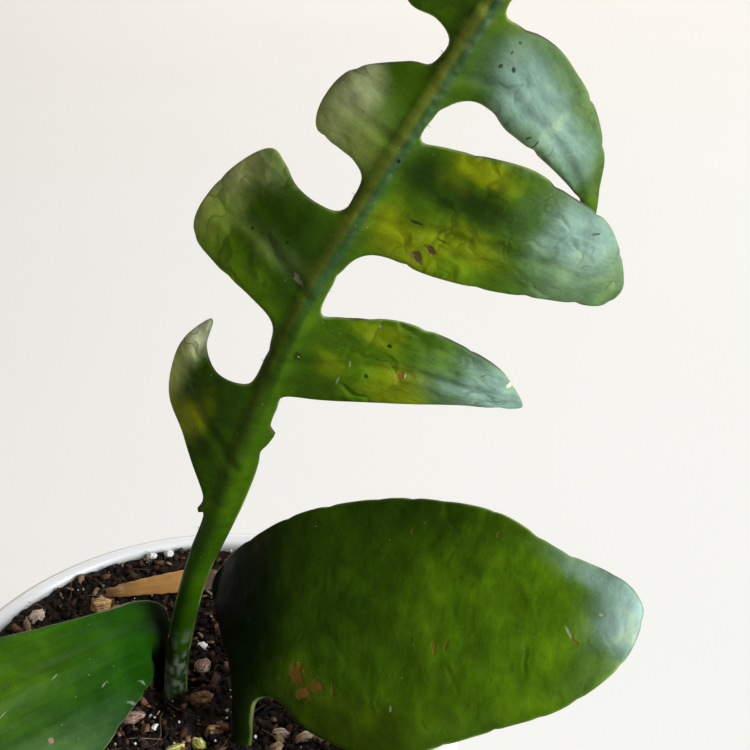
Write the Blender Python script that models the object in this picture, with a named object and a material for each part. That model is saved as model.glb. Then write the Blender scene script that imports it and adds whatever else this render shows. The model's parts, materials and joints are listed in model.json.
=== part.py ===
"""A potted orchid cactus: one tall lobed stem and two broad flat stems, rooted in a bark
and peat mix that fills a round glazed pot. +Z is up and the origin is the centre of the
pot's base. Sizes below are millimetres, and meshes are made in metres.
"""

import math

import bmesh
import bpy
import numpy as np
from mathutils import Euler, Vector
from mathutils.geometry import delaunay_2d_cdt

MM = 0.001
GAP = 0.3  # clearance between pieces that touch

# Pot
RIM_RADIUS = 60.0
POT_HEIGHT = 108.0
BASE_RADIUS = 48.0
WALL = 4.5
FLOOR = 6.0
FOOT_ROUND = 2.5
INNER_ROUND = 5.0
POT_SEGMENTS = 64

# Potting mix
SOIL_LEVEL = 102.4
SOIL_SEGMENTS = 32
SOIL_RINGS = 9
SOIL_CHAMFER = 6.0
WAVE_HEIGHT = 0.8
SMALL_WAVE_HEIGHT = 0.6
HEAP_HEIGHT = 3.6
HEAP_START = 32.0  # distance from the middle where the heap begins
HEAP_TURN = 130.0  # degrees from +X to the middle of the heap
SOCKET = 0.5  # how much wider than a stem or chip its hole in the mix is

# Stems
STEM_EDGE = 1.5  # width of the rounded margin
STEM_HALF = 1.0  # half the thickness of the flat part
RIB_HALF = 1.5  # what the midrib adds to that
RIB_WIDTH = 3.2
ROOT = 4.0  # lobes start to bend this far from the midrib


def clear_scene():
    for old in list(bpy.data.objects):
        bpy.data.objects.remove(old, do_unlink=True)


def finish(name, colour, roughness, metallic=0.0):
    """A plain material in the piece's own colour."""
    made = bpy.data.materials.new(name)
    made.use_nodes = True
    shader = made.node_tree.nodes["Principled BSDF"]
    shader.inputs["Base Color"].default_value = (*colour, 1.0)
    shader.inputs["Roughness"].default_value = roughness
    shader.inputs["Metallic"].default_value = metallic
    return made


def add_piece(name, points_mm, faces, material):
    """One closed body from points in millimetres, with its faces turned outwards."""
    mesh = bpy.data.meshes.new(name)
    mesh.from_pydata([tuple(p) for p in np.asarray(points_mm) * MM], [], faces)
    shape = bmesh.new()
    shape.from_mesh(mesh)
    bmesh.ops.recalc_face_normals(shape, faces=shape.faces)
    shape.to_mesh(mesh)
    shape.free()
    mesh.shade_smooth()
    mesh.set_sharp_from_angle(angle=math.radians(50))
    mesh.materials.append(material)
    piece = bpy.data.objects.new(name, mesh)
    bpy.context.scene.collection.objects.link(piece)
    return piece


# Pot and potting mix: turned shapes


def turned(profile, segments, lift=None):
    """Points and faces of a profile turned about Z. Its two ends lie on the axis."""
    first, *rows, last = profile
    points = [(0.0, 0.0, first[1])]
    for radius, height in rows:
        for step in range(segments):
            angle = 2 * math.pi * step / segments
            points.append((radius * math.cos(angle), radius * math.sin(angle), height))
    points.append((0.0, 0.0, last[1]))
    faces = []
    end = len(points) - 1
    start_of_last = end - segments
    for step in range(segments):
        after = (step + 1) % segments
        faces.append((0, 1 + after, 1 + step))
        for row in range(len(rows) - 1):
            low = 1 + row * segments
            high = low + segments
            faces.append((low + step, low + after, high + after, high + step))
        faces.append((end, start_of_last + step, start_of_last + after))
    if lift:
        points = [(x, y, z + lift(x, y, z)) for x, y, z in points]
    return points, faces


def outer_radius(height):
    return BASE_RADIUS + (RIM_RADIUS - BASE_RADIUS) * height / POT_HEIGHT


def inner_radius(height):
    return outer_radius(height) - WALL


def arc(centre, radius, start, stop, steps):
    """Points on an arc in the profile plane, angles in degrees."""
    made = []
    for step in range(steps + 1):
        angle = math.radians(start + (stop - start) * step / steps)
        made.append((centre[0] + radius * math.cos(angle), centre[1] + radius * math.sin(angle)))
    return made


def make_pot():
    lip = WALL / 2
    profile = [(0.0, 0.0)]
    profile += arc((outer_radius(FOOT_ROUND) - FOOT_ROUND, FOOT_ROUND), FOOT_ROUND, -90, 0, 3)
    profile += [(outer_radius(h), h) for h in (36.0, 72.0)]
    profile += arc((outer_radius(POT_HEIGHT - lip) - lip, POT_HEIGHT - lip), lip, 0, 180, 6)
    profile += [(inner_radius(h), h) for h in (72.0, 36.0)]
    corner = FLOOR + INNER_ROUND
    profile += arc((inner_radius(corner) - INNER_ROUND, corner), INNER_ROUND, 0, -90, 3)
    profile += [(0.0, FLOOR)]
    return add_piece("pot", *turned(profile, POT_SEGMENTS), finish("pot", (0.86, 0.85, 0.82), 0.22))


def soil_swell(x, y):
    """How far the mix rises above or sinks below its level. It is heaped against the back
    left of the wall."""
    waves = WAVE_HEIGHT * math.sin(0.19 * x + 1.3) * math.cos(0.16 * y)
    waves += SMALL_WAVE_HEIGHT * math.sin(0.33 * x - 0.27 * y + 0.5)
    towards_heap = 0.5 + 0.5 * math.cos(math.atan2(y, x) - math.radians(HEAP_TURN))
    radius = math.hypot(x, y)
    share = min(max((radius - HEAP_START) / (RIM_RADIUS - WALL - HEAP_START), 0), 1)
    heap = HEAP_HEIGHT * share * share * (3 - 2 * share) * towards_heap**2
    return waves * (1 - 0.6 * share) + heap


def make_soil():
    top_radius = inner_radius(SOIL_LEVEL) - GAP
    profile = [(0.0, SOIL_LEVEL)]
    profile += [(top_radius * ring / SOIL_RINGS, SOIL_LEVEL) for ring in range(1, SOIL_RINGS + 1)]
    profile += [(inner_radius(h) - GAP, h) for h in (70.0, FLOOR + SOIL_CHAMFER)]
    profile += [(inner_radius(FLOOR) - GAP - SOIL_CHAMFER, FLOOR + GAP), (0.0, FLOOR + GAP)]

    def lift(x, y, z):
        return soil_swell(x, y) if z >= SOIL_LEVEL else 0.0

    shape = turned(profile, SOIL_SEGMENTS, lift)
    return add_piece("potting_soil", *shape, finish("potting_soil", (0.05, 0.032, 0.022), 0.95))


# Stems: an outline on a flat sheet, thickened, and bent into place


def smooth_curve(control, steps):
    """A Catmull-Rom curve through the control points, with both ends kept."""
    given = np.asarray(control, float)
    points = np.vstack([2 * given[0] - given[1], given, 2 * given[-1] - given[-2]])
    made = []
    for a, b, c, d in zip(points, points[1:], points[2:], points[3:]):
        for step in range(steps):
            t = step / steps
            cubic = 2 * b + (c - a) * t + (2 * a - 5 * b + 4 * c - d) * t * t
            made.append((cubic + (3 * b - a - 3 * c + d) * t**3) / 2)
    made.append(given[-1])
    return np.array(made)


def evenly(line, spacing):
    """The same line with points about spacing apart."""
    gone = np.concatenate([[0], np.cumsum(np.linalg.norm(np.diff(line, axis=0), axis=1))])
    stops = np.linspace(0, gone[-1], int(gone[-1] / spacing) + 1)
    return np.stack([np.interp(stops, gone, line[:, axis]) for axis in (0, 1)], 1)


def closed_curve(control, spacing):
    """A smooth closed outline with points about spacing apart."""
    given = np.asarray(control, float)
    wrapped = np.vstack([given[-2:], given, given[:3]])
    return evenly(smooth_curve(wrapped, 12)[24:-24], spacing)[:-1]


def unit(vectors):
    return vectors / np.linalg.norm(vectors, axis=-1, keepdims=True)


def ease(x):
    x = np.clip(x, 0, 1)
    return x * x * (3 - 2 * x)


def inside(points, polygon):
    """Which of the points lie inside the polygon."""
    found = np.zeros(len(points), bool)
    for (ax, ay), (bx, by) in zip(polygon, np.roll(polygon, -1, axis=0)):
        crosses = (ay > points[:, 1]) != (by > points[:, 1])
        level = np.where(by == ay, 1e-9, by - ay)
        found ^= crosses & (points[:, 0] < (bx - ax) * (points[:, 1] - ay) / level + ax)
    return found


def distance_to(outline, points):
    """Each point's distance to the closed outline."""
    return distance_along(np.vstack([outline, outline[:1]]), points)


def distance_along(line, points):
    """Each point's distance to the open line."""
    along = np.diff(line, axis=0)[None]
    offset = points[:, None] - line[None, :-1]
    share = (offset * along).sum(2) / np.maximum((along**2).sum(2), 1e-12)
    nearest = offset - np.clip(share, 0, 1)[..., None] * along
    return np.linalg.norm(nearest, axis=2).min(1)


class Midrib:
    """A curve in space with a facing direction, which carries points of a flat sheet."""

    def __init__(self, path, facing):
        self.path = smooth_curve(path, 24)
        steps = np.linalg.norm(np.diff(self.path, axis=0), axis=1)
        self.length = np.concatenate([[0], np.cumsum(steps)])
        self.along = unit(np.gradient(self.path, self.length, axis=0))
        front = smooth_curve(facing, 24)
        front = front - (front * self.along).sum(1, keepdims=True) * self.along
        self.front = unit(front)
        self.side = np.cross(self.along, self.front)

    def frame_at(self, s):
        def pick(values):
            return np.stack([np.interp(s, self.length, values[:, axis]) for axis in range(3)], -1)

        beyond = (s - np.clip(s, 0, self.length[-1]))[:, None]
        return pick(self.path) + beyond * pick(self.along), unit(pick(self.side)), unit(pick(self.front))


def bend_out(rib, s, w, fold, curl, reach, sweep=0.0, middle=0.0):
    """Carries flat points (s along, w across) onto a rib. A lobe turns by fold degrees
    just past its root, by curl more at its reach, and by sweep within its own plane."""
    out = np.maximum(np.abs(w) - ROOT, 0)
    turn = np.radians(sweep) * ease(out / 14)
    off = s - middle
    s_swept = np.where(out > 0, middle + off * np.cos(turn) - out * np.sin(turn), s)
    w_swept = np.where(out > 0, ROOT + out * np.cos(turn) + off * np.sin(turn), np.abs(w))
    shares = (np.arange(24) + 0.5) / 24
    gone = w_swept[:, None] * shares
    past = gone - ROOT
    angle = fold[:, None] * ease(past / 8)
    angle = angle + curl[:, None] * np.clip(past / (reach[:, None] - ROOT), 0, 2)
    angle = np.radians(np.where(past > 0, angle, 0))
    across = w_swept * np.cos(angle).mean(1) * np.sign(w)
    depth = w_swept * np.sin(angle).mean(1)
    centre, side, front = rib.frame_at(s_swept)
    return centre + across[:, None] * side + depth[:, None] * front


def flat_stem(name, control, rib_line, carry, spacing, material, half, rib, edge=STEM_EDGE):
    """A closed thin body: the smooth outline filled with triangles, both faces carried
    into place and moved apart by the thickness. That is half to each side, more along the
    rib line, and nothing at the margin."""
    outline = closed_curve(control, spacing)
    rib_line = evenly(smooth_curve(rib_line, 8), spacing)
    ahead = np.roll(outline, -1, axis=0) - np.roll(outline, 1, axis=0)
    inward = unit(np.stack([-ahead[:, 1], ahead[:, 0]], 1))
    if not inside(outline + 0.05 * inward, outline).mean() > 0.5:
        inward = -inward
    ring = outline + edge * inward
    ring = ring[inside(ring, outline)]
    ring = ring[distance_to(outline, ring) > 0.8 * edge]
    low, high = outline.min(0), outline.max(0)
    rows = np.arange(math.floor(low[1] / spacing), math.ceil(high[1] / spacing) + 1)
    grid = []
    for row in rows:
        shift = spacing * (0.5 if row % 2 else 0.0)
        for s in np.arange(low[0] + shift, high[0], spacing * 1.15):
            grid.append((s, row * spacing))
    grid = np.array(grid)
    grid = grid[inside(grid, outline)]
    grid = grid[distance_to(outline, grid) > edge + 0.45 * spacing]
    grid = grid[distance_along(rib_line, grid) > 0.6 * spacing]
    rib_points = rib_line[inside(rib_line, outline)]
    rib_points = rib_points[distance_to(outline, rib_points) > edge + 0.2]
    flat = np.vstack([outline, ring, grid, rib_points])
    border = [tuple(range(len(outline)))]
    points, _, triangles, *_ = delaunay_2d_cdt([Vector(p) for p in flat], [], border, 1, 1e-6)
    flat = np.array([tuple(p) for p in points])
    depth = distance_to(outline, flat)
    rim = depth < 1e-3
    rounding = np.sqrt(1 - (1 - np.clip(depth / edge, 0, 1)) ** 2)
    thick = rounding * (half + rib * np.exp(-((distance_along(rib_line, flat) / RIB_WIDTH) ** 2)))
    thick[rim] = 0
    small = 0.05
    middle = carry(flat)
    normal = np.cross(
        carry(flat + [small, 0]) - carry(flat - [small, 0]),
        carry(flat + [0, small]) - carry(flat - [0, small]),
    )
    normal = unit(normal)
    front = middle + thick[:, None] * normal
    back_of = np.where(rim, np.arange(len(flat)), len(flat) + np.cumsum(~rim) - 1)
    back = (middle - thick[:, None] * normal)[~rim]
    faces = [tuple(face) for face in triangles]
    faces += [tuple(int(back_of[corner]) for corner in reversed(face)) for face in triangles]
    return add_piece(name, np.vstack([front, back]), faces, material)


# The lobed stem. Each lobe is its outline on the flat sheet, from the notch below it to
# the notch above it, and how it bends: fold, curl, reach, sweep.
LOBED_PATH = [
    (-8, 0, 80.6), (-6.5, 0.2, 103), (-4.8, 0.4, 115.8), (-0.5, 0.7, 133), (4.8, 1.1, 146.4),
    (11.5, 1.7, 165), (23.5, 2.5, 194), (36.3, 3, 216), (51.5, 2.6, 241), (62.5, 0.5, 261),
    (70.5, -4, 286), (73.5, -9, 307),
]  # fmt: skip
LOBED_FACING = [(0, -1, 0)] * 10 + [(0, -1, 0.1), (0, -1, 0.2)]
RIGHT_LOBES = [
    (((82, 4.4), (88, 4.2), (92.5, 4.9), (95, 3.6), (99, 3.6)), (0, 0, 40, 0)),
    (
        ((102, 4), (104, 11), (106.5, 19), (112.5, 37.5), (116.5, 51), (120, 52.5), (128.2, 43.5),
         (130, 30), (128.5, 18.5), (123.5, 8), (122.5, 3.7)),
        (0, -14, 40, 0),
    ),
    (
        ((131.5, 3.2), (136.5, 4.7), (139, 9), (140, 18.5), (143, 33.5), (146.3, 48),
         (149, 60), (155, 61.5), (164.8, 47), (167, 32), (167.5, 22), (163.5, 8), (162, 2.4)),
        (2, -24, 40, 0),
    ),
    (
        ((167.5, 2.4), (172, 5.2), (174.5, 12), (178, 26.5), (180, 41), (180, 54),
         (184.3, 45.8), (190.2, 32.5), (191.8, 18), (188.8, 7.5), (189, 3.2)),
        (-6, -30, 40, 22),
    ),
    (
        ((194.5, 3.4), (199, 5.5), (202, 12), (204, 23), (208, 32), (213, 32), (217, 23),
         (217, 12), (214, 4.5)),
        (-5, -26, 36, 12),
    ),
    (
        ((218, 3.6), (222, 8), (225, 15), (230, 19), (235, 14), (237, 7)),
        (-5, -24, 30, 6),
    ),
]  # fmt: skip
LEFT_LOBES = [
    (
        ((70, -3.2), (71, -4.6), (75, -4.9), (84.5, -12.5), (91, -21), (101, -22.5), (110.5, -16.6),
         (104.8, -15.4), (101.5, -11), (101.5, -5.5), (103.5, -3)),
        (-20, -45, 30, 0),
    ),
    (
        ((112, -2.8), (116.5, -4.5), (119, -10.5), (120.5, -19.5), (122.5, -27), (127, -29),
         (136, -27), (144, -22.5), (145, -18.5), (142, -13), (141.5, -7), (143, -3.2)),
        (-10, -40, 35, 0),
    ),
    (
        ((149.5, -3), (152, -6), (152.5, -9.5), (153, -15.5), (158.5, -17.5), (166, -15.5),
         (173, -7.5), (175, -3.4)),
        (-15, -35, 35, 0),
    ),
    (
        ((180, -3.2), (182, -7), (181.5, -12), (184, -17.5), (190, -21), (197, -20),
         (201, -14), (202, -8), (204, -3.6)),
        (-10, -25, 35, 0),
    ),
    (((209, -3.4), (212, -8), (214, -15), (219, -19), (226, -16), (228, -9), (229, -4)), (-10, -25, 30, 0)),
    (((233, -3.4), (236, -6.5), (240, -6.5), (243, -3)), (-6, -20, 30, 0)),
]  # fmt: skip
STALK_RIGHT = [(0, 2.2), (24, 2.6), (43.5, 2.6), (56, 2.7), (66, 3.2), (75, 4.1)]
STALK_LEFT = [(62, -3.1), (54, -2.7), (43.5, -2.7), (24, -2.6), (0, -2.2), (-1.5, 0)]
LOBED_RIB = [(0, 0), (120, 0), (240, 0)]
LOBED_SPACING = 4.6


def lobed_outline():
    control = list(STALK_RIGHT)
    for shape, _ in RIGHT_LOBES:
        control += shape
    control += [(241, 4), (244, 0.5)]
    for shape, _ in reversed(LEFT_LOBES):
        control += reversed(shape)
    return control + STALK_LEFT


def carry_lobed():
    """Carries flat points of the lobed stem, each with its own lobe's bend."""
    rib = Midrib(LOBED_PATH, LOBED_FACING)
    lobes = RIGHT_LOBES + LEFT_LOBES

    def carry(flat):
        s, w = flat[:, 0], flat[:, 1]
        bends = np.zeros((len(flat), 5))
        bends[:, 2] = 40
        nearest = np.full(len(flat), np.inf)
        for shape, (fold, curl, reach, sweep) in lobes:
            polygon = np.array(shape, float)
            same_side = w * polygon[len(shape) // 2, 1] > 0
            away = distance_to(polygon, flat)
            away[inside(flat, polygon)] = 0
            away[~same_side] = np.inf
            closer = away < nearest
            nearest[closer] = away[closer]
            middle = (polygon[0, 0] + polygon[-1, 0]) / 2
            bends[closer] = (fold, curl, reach, sweep, middle)
        return bend_out(rib, s, w, *bends.T[:3], sweep=bends[:, 3], middle=bends[:, 4])

    return carry


def make_lobed_stem():
    green = finish("lobed_stem", (0.09, 0.24, 0.03), 0.38)
    return flat_stem(
        "lobed_stem", lobed_outline(), LOBED_RIB, carry_lobed(), LOBED_SPACING, green,
        half=STEM_HALF, rib=RIB_HALF,
    )  # fmt: skip


# The broad stem on the right: a leaning plate, bowed a little, on a short stalk.
RIGHT_ORIGIN = (9, -20, 105)
RIGHT_FACING = (-0.30, -0.79, 0.54)
RIGHT_OUTLINE = [
    (2, -20), (2.2, 0), (2, 6), (2.2, 9.5), (3.8, 11), (6, 11.5), (9, 10.5), (13, 8), (18, 6),
    (25, 5), (31.5, 5.5), (37.5, 7.5), (43.5, 10.5), (55, 17), (66.5, 23.8), (75.8, 34), (78.8, 43),
    (78, 47.5), (73, 51.5), (60.5, 54.6), (47, 59.5), (32, 59.5), (19, 57), (4, 51.3), (-9, 43),
    (-16.5, 36.5), (-19, 31), (-17, 26), (-11.5, 19.5), (-5, 12), (-3, 5), (-2.8, 0), (-2.4, -20),
    (-0.2, -21.5),
]  # fmt: skip
RIGHT_RIB = [(-0.3, -20), (-0.3, 4), (4, 16), (18, 28), (45, 38), (76, 46)]
BROAD_SPACING = 5.0
BROAD_HALF = 1.2
BROAD_RIB = 1.1
LEAN_START = 12.0  # below this height on the plate the stalk leans back under it
LENGTH_BOW = 3.0  # how far the plate's ends bow back
WIDTH_BOW = 2.0  # how far its long margins bow back
SHOULDER_BOW = 7.0  # how far its left shoulder rolls back


def carry_right(flat):
    u, v = flat[:, 0], flat[:, 1]
    front = unit(np.array(RIGHT_FACING))
    up = unit(np.array([0, 0, 1]) - front[2] * front)
    right = np.cross(up, front)
    below = np.maximum(0, LEAN_START - v)
    depth = -0.4 * below**2 / (below + 8) * (1 - ease((u - 8) / 16))
    depth = depth - LENGTH_BOW * ((u - 35) / 45) ** 2
    depth = depth - WIDTH_BOW * ((v - 25 - 0.28 * u) / 27) ** 2 * ease(u / 25)
    depth = depth - SHOULDER_BOW * np.clip((10 - u) / 22, 0, 1.2) ** 2 * ease((v - 6) / 12)
    return np.array(RIGHT_ORIGIN) + u[:, None] * right + v[:, None] * up + depth[:, None] * front


def make_right_stem():
    green = finish("broad_stem_right", (0.03, 0.10, 0.012), 0.4)
    return flat_stem(
        "broad_stem_right", RIGHT_OUTLINE, RIGHT_RIB, carry_right, BROAD_SPACING, green,
        half=BROAD_HALF, rib=BROAD_RIB,
    )  # fmt: skip


# The broad stem on the left: its stalk rises, then the blade arches out over the rim.
LEFT_PATH = [
    (-13, 3, 80), (-11.5, 4, 102), (-10.8, 3.8, 111), (-11.8, 0, 118.5), (-15, -7, 122.5),
    (-20.5, -15.5, 125), (-34, -33, 128.5), (-52, -54, 129), (-66, -70, 124),
]  # fmt: skip
LEFT_FACING = [
    (0.8, -0.6, 0), (0.8, -0.6, 0), (0.8, -0.55, 0.2), (0.74, -0.45, 0.45), (0.66, -0.3, 0.65),
    (0.6, -0.27, 0.75), (0.6, -0.27, 0.75), (0.55, -0.3, 0.8), (0.5, -0.35, 0.8),
]  # fmt: skip
LEFT_OUTLINE = [
    (0, -2), (20, -2.4), (30, -2.5), (36, -4.6), (41, -8.6), (48, -11), (57, -14), (66, -18),
    (77, -21.5), (90, -22.5), (104, -19.5), (117, -12.5), (127, -4.5), (130.8, 0), (127.5, 5),
    (118, 11.5), (104, 16), (90, 15.5), (76, 11.8), (62, 9.6), (50, 8), (42, 7.8), (37, 8),
    (33.5, 5.6), (30.5, 2.9), (20, 2.4), (0, 2), (-1.5, 0),
]  # fmt: skip
LEFT_RIB = [(0, 0), (60, 0), (128, 0)]


def make_left_stem():
    rib = Midrib(LEFT_PATH, LEFT_FACING)

    def carry(flat):
        same = np.ones(len(flat))
        return bend_out(rib, flat[:, 0], flat[:, 1], 0 * same, -8 * same, 25 * same)

    green = finish("broad_stem_left", (0.05, 0.17, 0.015), 0.38)
    return flat_stem(
        "broad_stem_left", LEFT_OUTLINE, LEFT_RIB, carry, BROAD_SPACING, green,
        half=BROAD_HALF, rib=BROAD_RIB,
    )  # fmt: skip


# A dry strip of old stem skin, lying on the mix behind the stems.
STRIP_PATH = [
    (-30.5, 34, 105), (-22, 34.6, 106.4), (-12, 36.5, 107), (-3, 39, 106.4), (4, 42, 105.2),
]  # fmt: skip
STRIP_FACING = [(0, -0.5, 0.85)] * 5
STRIP_OUTLINE = [
    (0, -1.2), (6, -2.2), (14, -2.8), (24, -3.4), (31, -2.2), (33, 0), (31, 2.4), (24, 3.4),
    (14, 2.6), (6, 1.8), (0, 1.2), (-1, 0),
]  # fmt: skip
STRIP_RIB = [(0, 0), (16, 0), (32, 0)]
STRIP_SPACING = 3.0
STRIP_HALF = 0.5
STRIP_EDGE = 0.8


def make_dry_strip():
    rib = Midrib(STRIP_PATH, STRIP_FACING)

    def carry(flat):
        same = np.ones(len(flat))
        return bend_out(rib, flat[:, 0], flat[:, 1], -4 * same, -50 * same, 6 * same)

    tan = finish("dry_strip", (0.42, 0.22, 0.08), 0.7)
    return flat_stem(
        "dry_strip", STRIP_OUTLINE, STRIP_RIB, carry, STRIP_SPACING, tan,
        half=STRIP_HALF, rib=0.0, edge=STRIP_EDGE,
    )  # fmt: skip


# Loose pieces half sunk in the mix: x, y, length, width, thickness, turn in degrees.
BARK_CHIPS = [
    (-29.5, 29.6, 5.4, 4.6, 5.4, 20), (-44, 24, 5.5, 4, 3.4, 70), (0, -3.5, 6, 4, 3, 10),
    (-1.5, 9, 6, 3.6, 3.4, 80), (5, -11.5, 7.5, 2.2, 1.8, 8), (-14.5, -8, 6.5, 3.4, 3, 40),
    (-4, -17.5, 4.6, 3, 2.4, 30), (0.8, -15.5, 4, 3, 2.4, 140), (18.5, -13.5, 4.4, 2.8, 2.2, 0),
    (24, -15, 3.8, 2.6, 2, 20), (-17, 20, 6, 4, 3, 120), (-33, 8, 6.5, 4.4, 3.4, 60),
    (-8, 47, 6.5, 4, 3, 15), (1.5, 23, 6, 4, 3.2, 100), (36, -20, 6, 4.2, 3, 45),
    (14, -36, 7, 4.4, 3.2, 160), (-17, -33, 6, 4, 3, 95), (46, 6, 5, 3.6, 2.8, 30),
    (29, 42, 6.4, 4.2, 3, 75), (-38, -12, 5.6, 4, 3, 0),
]  # fmt: skip
PERLITE = [
    (-20, 49.5, 3, 2.8, 2.6, 0), (-15.5, 50.5, 2.8, 2.6, 2.4, 40), (-2.5, 16.5, 2.6, 2.2, 2, 15),
    (-9, -12.5, 2.2, 2, 1.8, 60), (24, 45, 2.8, 2.6, 2.4, 10), (40, -6, 2.6, 2.4, 2.2, 35),
    (-5, -42, 3, 2.6, 2.4, 80), (-26, -20, 2.6, 2.4, 2.2, 25), (-46, 6, 2.6, 2.4, 2.2, 50),
]  # fmt: skip
BURIED_SHARE = 0.15  # a piece's middle sits this share of its thickness above the mix


def make_grain(name, place, material, seed):
    """An irregular pebble-like body, flat or round by its three sizes."""
    x, y, length, width, thickness, turn = place
    shape = bmesh.new()
    bmesh.ops.create_icosphere(shape, subdivisions=1, radius=0.5)
    jitter = np.random.default_rng(seed)
    points = np.array([vertex.co for vertex in shape.verts])
    faces = [tuple(vertex.index for vertex in face.verts) for face in shape.faces]
    shape.free()
    points = points * jitter.uniform(0.88, 1.1, (len(points), 1)) * (length, width, thickness)
    tilt = Euler((jitter.uniform(-0.25, 0.25), jitter.uniform(-0.25, 0.25), math.radians(turn)))
    centre = np.array([x, y, SOIL_LEVEL + soil_swell(x, y) + BURIED_SHARE * thickness])
    points = points @ np.array(tilt.to_matrix()).T + centre
    return add_piece(name, points, faces, material)


def make_loose_pieces():
    bark = finish("bark_chip", (0.28, 0.15, 0.07), 0.85)
    pale = finish("perlite_grain", (0.75, 0.72, 0.66), 0.8)
    made = []
    for index, place in enumerate(BARK_CHIPS, 1):
        made.append(make_grain(f"bark_chip_{index:02d}", place, bark, index))
    for index, place in enumerate(PERLITE, 1):
        made.append(make_grain(f"perlite_grain_{index:02d}", place, pale, 100 + index))
    return made


def seat_in(soil, pieces):
    """Cuts a socket in the mix for each piece, a little wider than the piece."""
    holes = bpy.data.collections.new("socket_cutters")
    bpy.context.scene.collection.children.link(holes)
    for piece in pieces:
        cutter = bpy.data.objects.new(piece.name + "_cutter", piece.data.copy())
        holes.objects.link(cutter)
        cutter.hide_render = True
        cutter.display_type = "WIRE"
        swell = cutter.modifiers.new("swell", "DISPLACE")
        swell.strength = SOCKET * MM
        swell.mid_level = 0.0
    cut = soil.modifiers.new("sockets", "BOOLEAN")
    cut.operation = "DIFFERENCE"
    cut.operand_type = "COLLECTION"
    cut.collection = holes


clear_scene()
make_pot()
potting_soil = make_soil()
seated = [make_lobed_stem(), make_right_stem(), make_left_stem(), make_dry_strip()]
seated += make_loose_pieces()
seat_in(potting_soil, seated)
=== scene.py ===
"""A potted orchid cactus in a round white glazed pot: one tall lobed stem and two broad
flat stems, rooted in a bark and peat mix. +Z is up, and the origin is the centre of the
pot's base. Shapes are worked out in millimetres and made in metres.
"""

import json
import math

import bmesh
import bpy
import numpy as np
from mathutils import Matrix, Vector, noise
from mathutils.geometry import delaunay_2d_cdt

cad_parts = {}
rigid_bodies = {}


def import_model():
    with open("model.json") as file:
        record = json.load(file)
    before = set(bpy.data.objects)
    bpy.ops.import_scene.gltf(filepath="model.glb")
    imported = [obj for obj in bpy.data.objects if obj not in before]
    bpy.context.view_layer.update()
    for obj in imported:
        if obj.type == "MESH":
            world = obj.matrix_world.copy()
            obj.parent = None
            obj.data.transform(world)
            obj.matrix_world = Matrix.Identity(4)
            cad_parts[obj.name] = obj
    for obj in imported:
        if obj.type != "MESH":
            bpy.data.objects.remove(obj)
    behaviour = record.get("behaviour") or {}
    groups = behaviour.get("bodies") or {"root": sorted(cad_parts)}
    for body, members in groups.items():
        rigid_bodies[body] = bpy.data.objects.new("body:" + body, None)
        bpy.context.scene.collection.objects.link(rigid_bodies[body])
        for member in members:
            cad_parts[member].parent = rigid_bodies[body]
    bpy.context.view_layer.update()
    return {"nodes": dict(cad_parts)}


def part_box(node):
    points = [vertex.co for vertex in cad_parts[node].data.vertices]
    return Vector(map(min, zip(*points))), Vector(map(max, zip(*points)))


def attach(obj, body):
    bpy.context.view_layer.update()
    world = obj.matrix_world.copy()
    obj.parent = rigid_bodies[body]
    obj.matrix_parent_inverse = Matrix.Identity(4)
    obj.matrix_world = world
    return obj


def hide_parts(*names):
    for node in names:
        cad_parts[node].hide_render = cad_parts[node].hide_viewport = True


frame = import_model()

# Table and daylight
# The pot stands on a pale table top. A tall window to the right and a little in front
# gives cool soft light, and pale walls all round send back a warmer, weaker one.

# Lengths and places in this section are in metres, and in all others in millimetres.
MM = 0.001
RIM_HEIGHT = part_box("pot")[1].z
TABLE_SIZE = 8.0
TABLE_GREY = (0.80, 0.775, 0.74)
TABLE_PALE = (0.84, 0.815, 0.78)
PLANT_MIDDLE = (0.0, 0.0, 0.16)
WINDOW_PLACE = (3.0, -1.5, 1.55)
WINDOW_SIZE = (2.0, 2.2)
WINDOW_WATTS = 248.0
WINDOW_COLOUR = (0.86, 0.94, 1.0)
FAR_WALL_PLACE = (0.2, 2.6, 1.9)
FAR_WALL_AIM = (0.1, 1.3, 0.0)
FAR_WALL_SIZE = (2.4, 1.2)
FAR_WALL_WATTS = 40.0
FAR_WALL_COLOUR = (1.0, 0.96, 0.9)
WALL_COLOUR = (1.0, 0.93, 0.85)
WALL_GLOW = 0.25
CAMERA_OVER_RIM = 0.1787
CAMERA_X = 0.0391
CAMERA_Y = -0.2162
CAMERA_TILT = 64.4  # degrees up from looking straight down
LENS_LENGTH = 57.6
FILM_WIDTH = 36.0


class Reading:
    """A value read from a node. Sums and products of readings add Math nodes."""

    def __init__(self, tree, socket):
        self.tree = tree
        self.socket = socket

    def maths(self, operation, *others):
        return self.tree.maths(operation, self, *others)

    def __add__(self, other):
        return self.maths("ADD", other)

    def __radd__(self, other):
        return self.maths("ADD", other)

    def __mul__(self, other):
        return self.maths("MULTIPLY", other)

    def __rmul__(self, other):
        return self.maths("MULTIPLY", other)

    def __sub__(self, other):
        return self.maths("SUBTRACT", other)

    def __rsub__(self, other):
        return self.tree.maths("SUBTRACT", other, self)

    def __truediv__(self, other):
        return self.maths("DIVIDE", other)

    def __pow__(self, other):
        return self.maths("POWER", other)

    def most(self, other):
        return self.maths("MAXIMUM", other)

    def rise(self, low, high):
        """0 at low and 1 at high, with a soft start and end. Low may be above high."""
        if low > high:
            return 1 - self.rise(high, low)
        settings = {"interpolation_type": "SMOOTHSTEP"}
        return self.tree.node("ShaderNodeMapRange", settings, {0: self, 1: low, 2: high})


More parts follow.
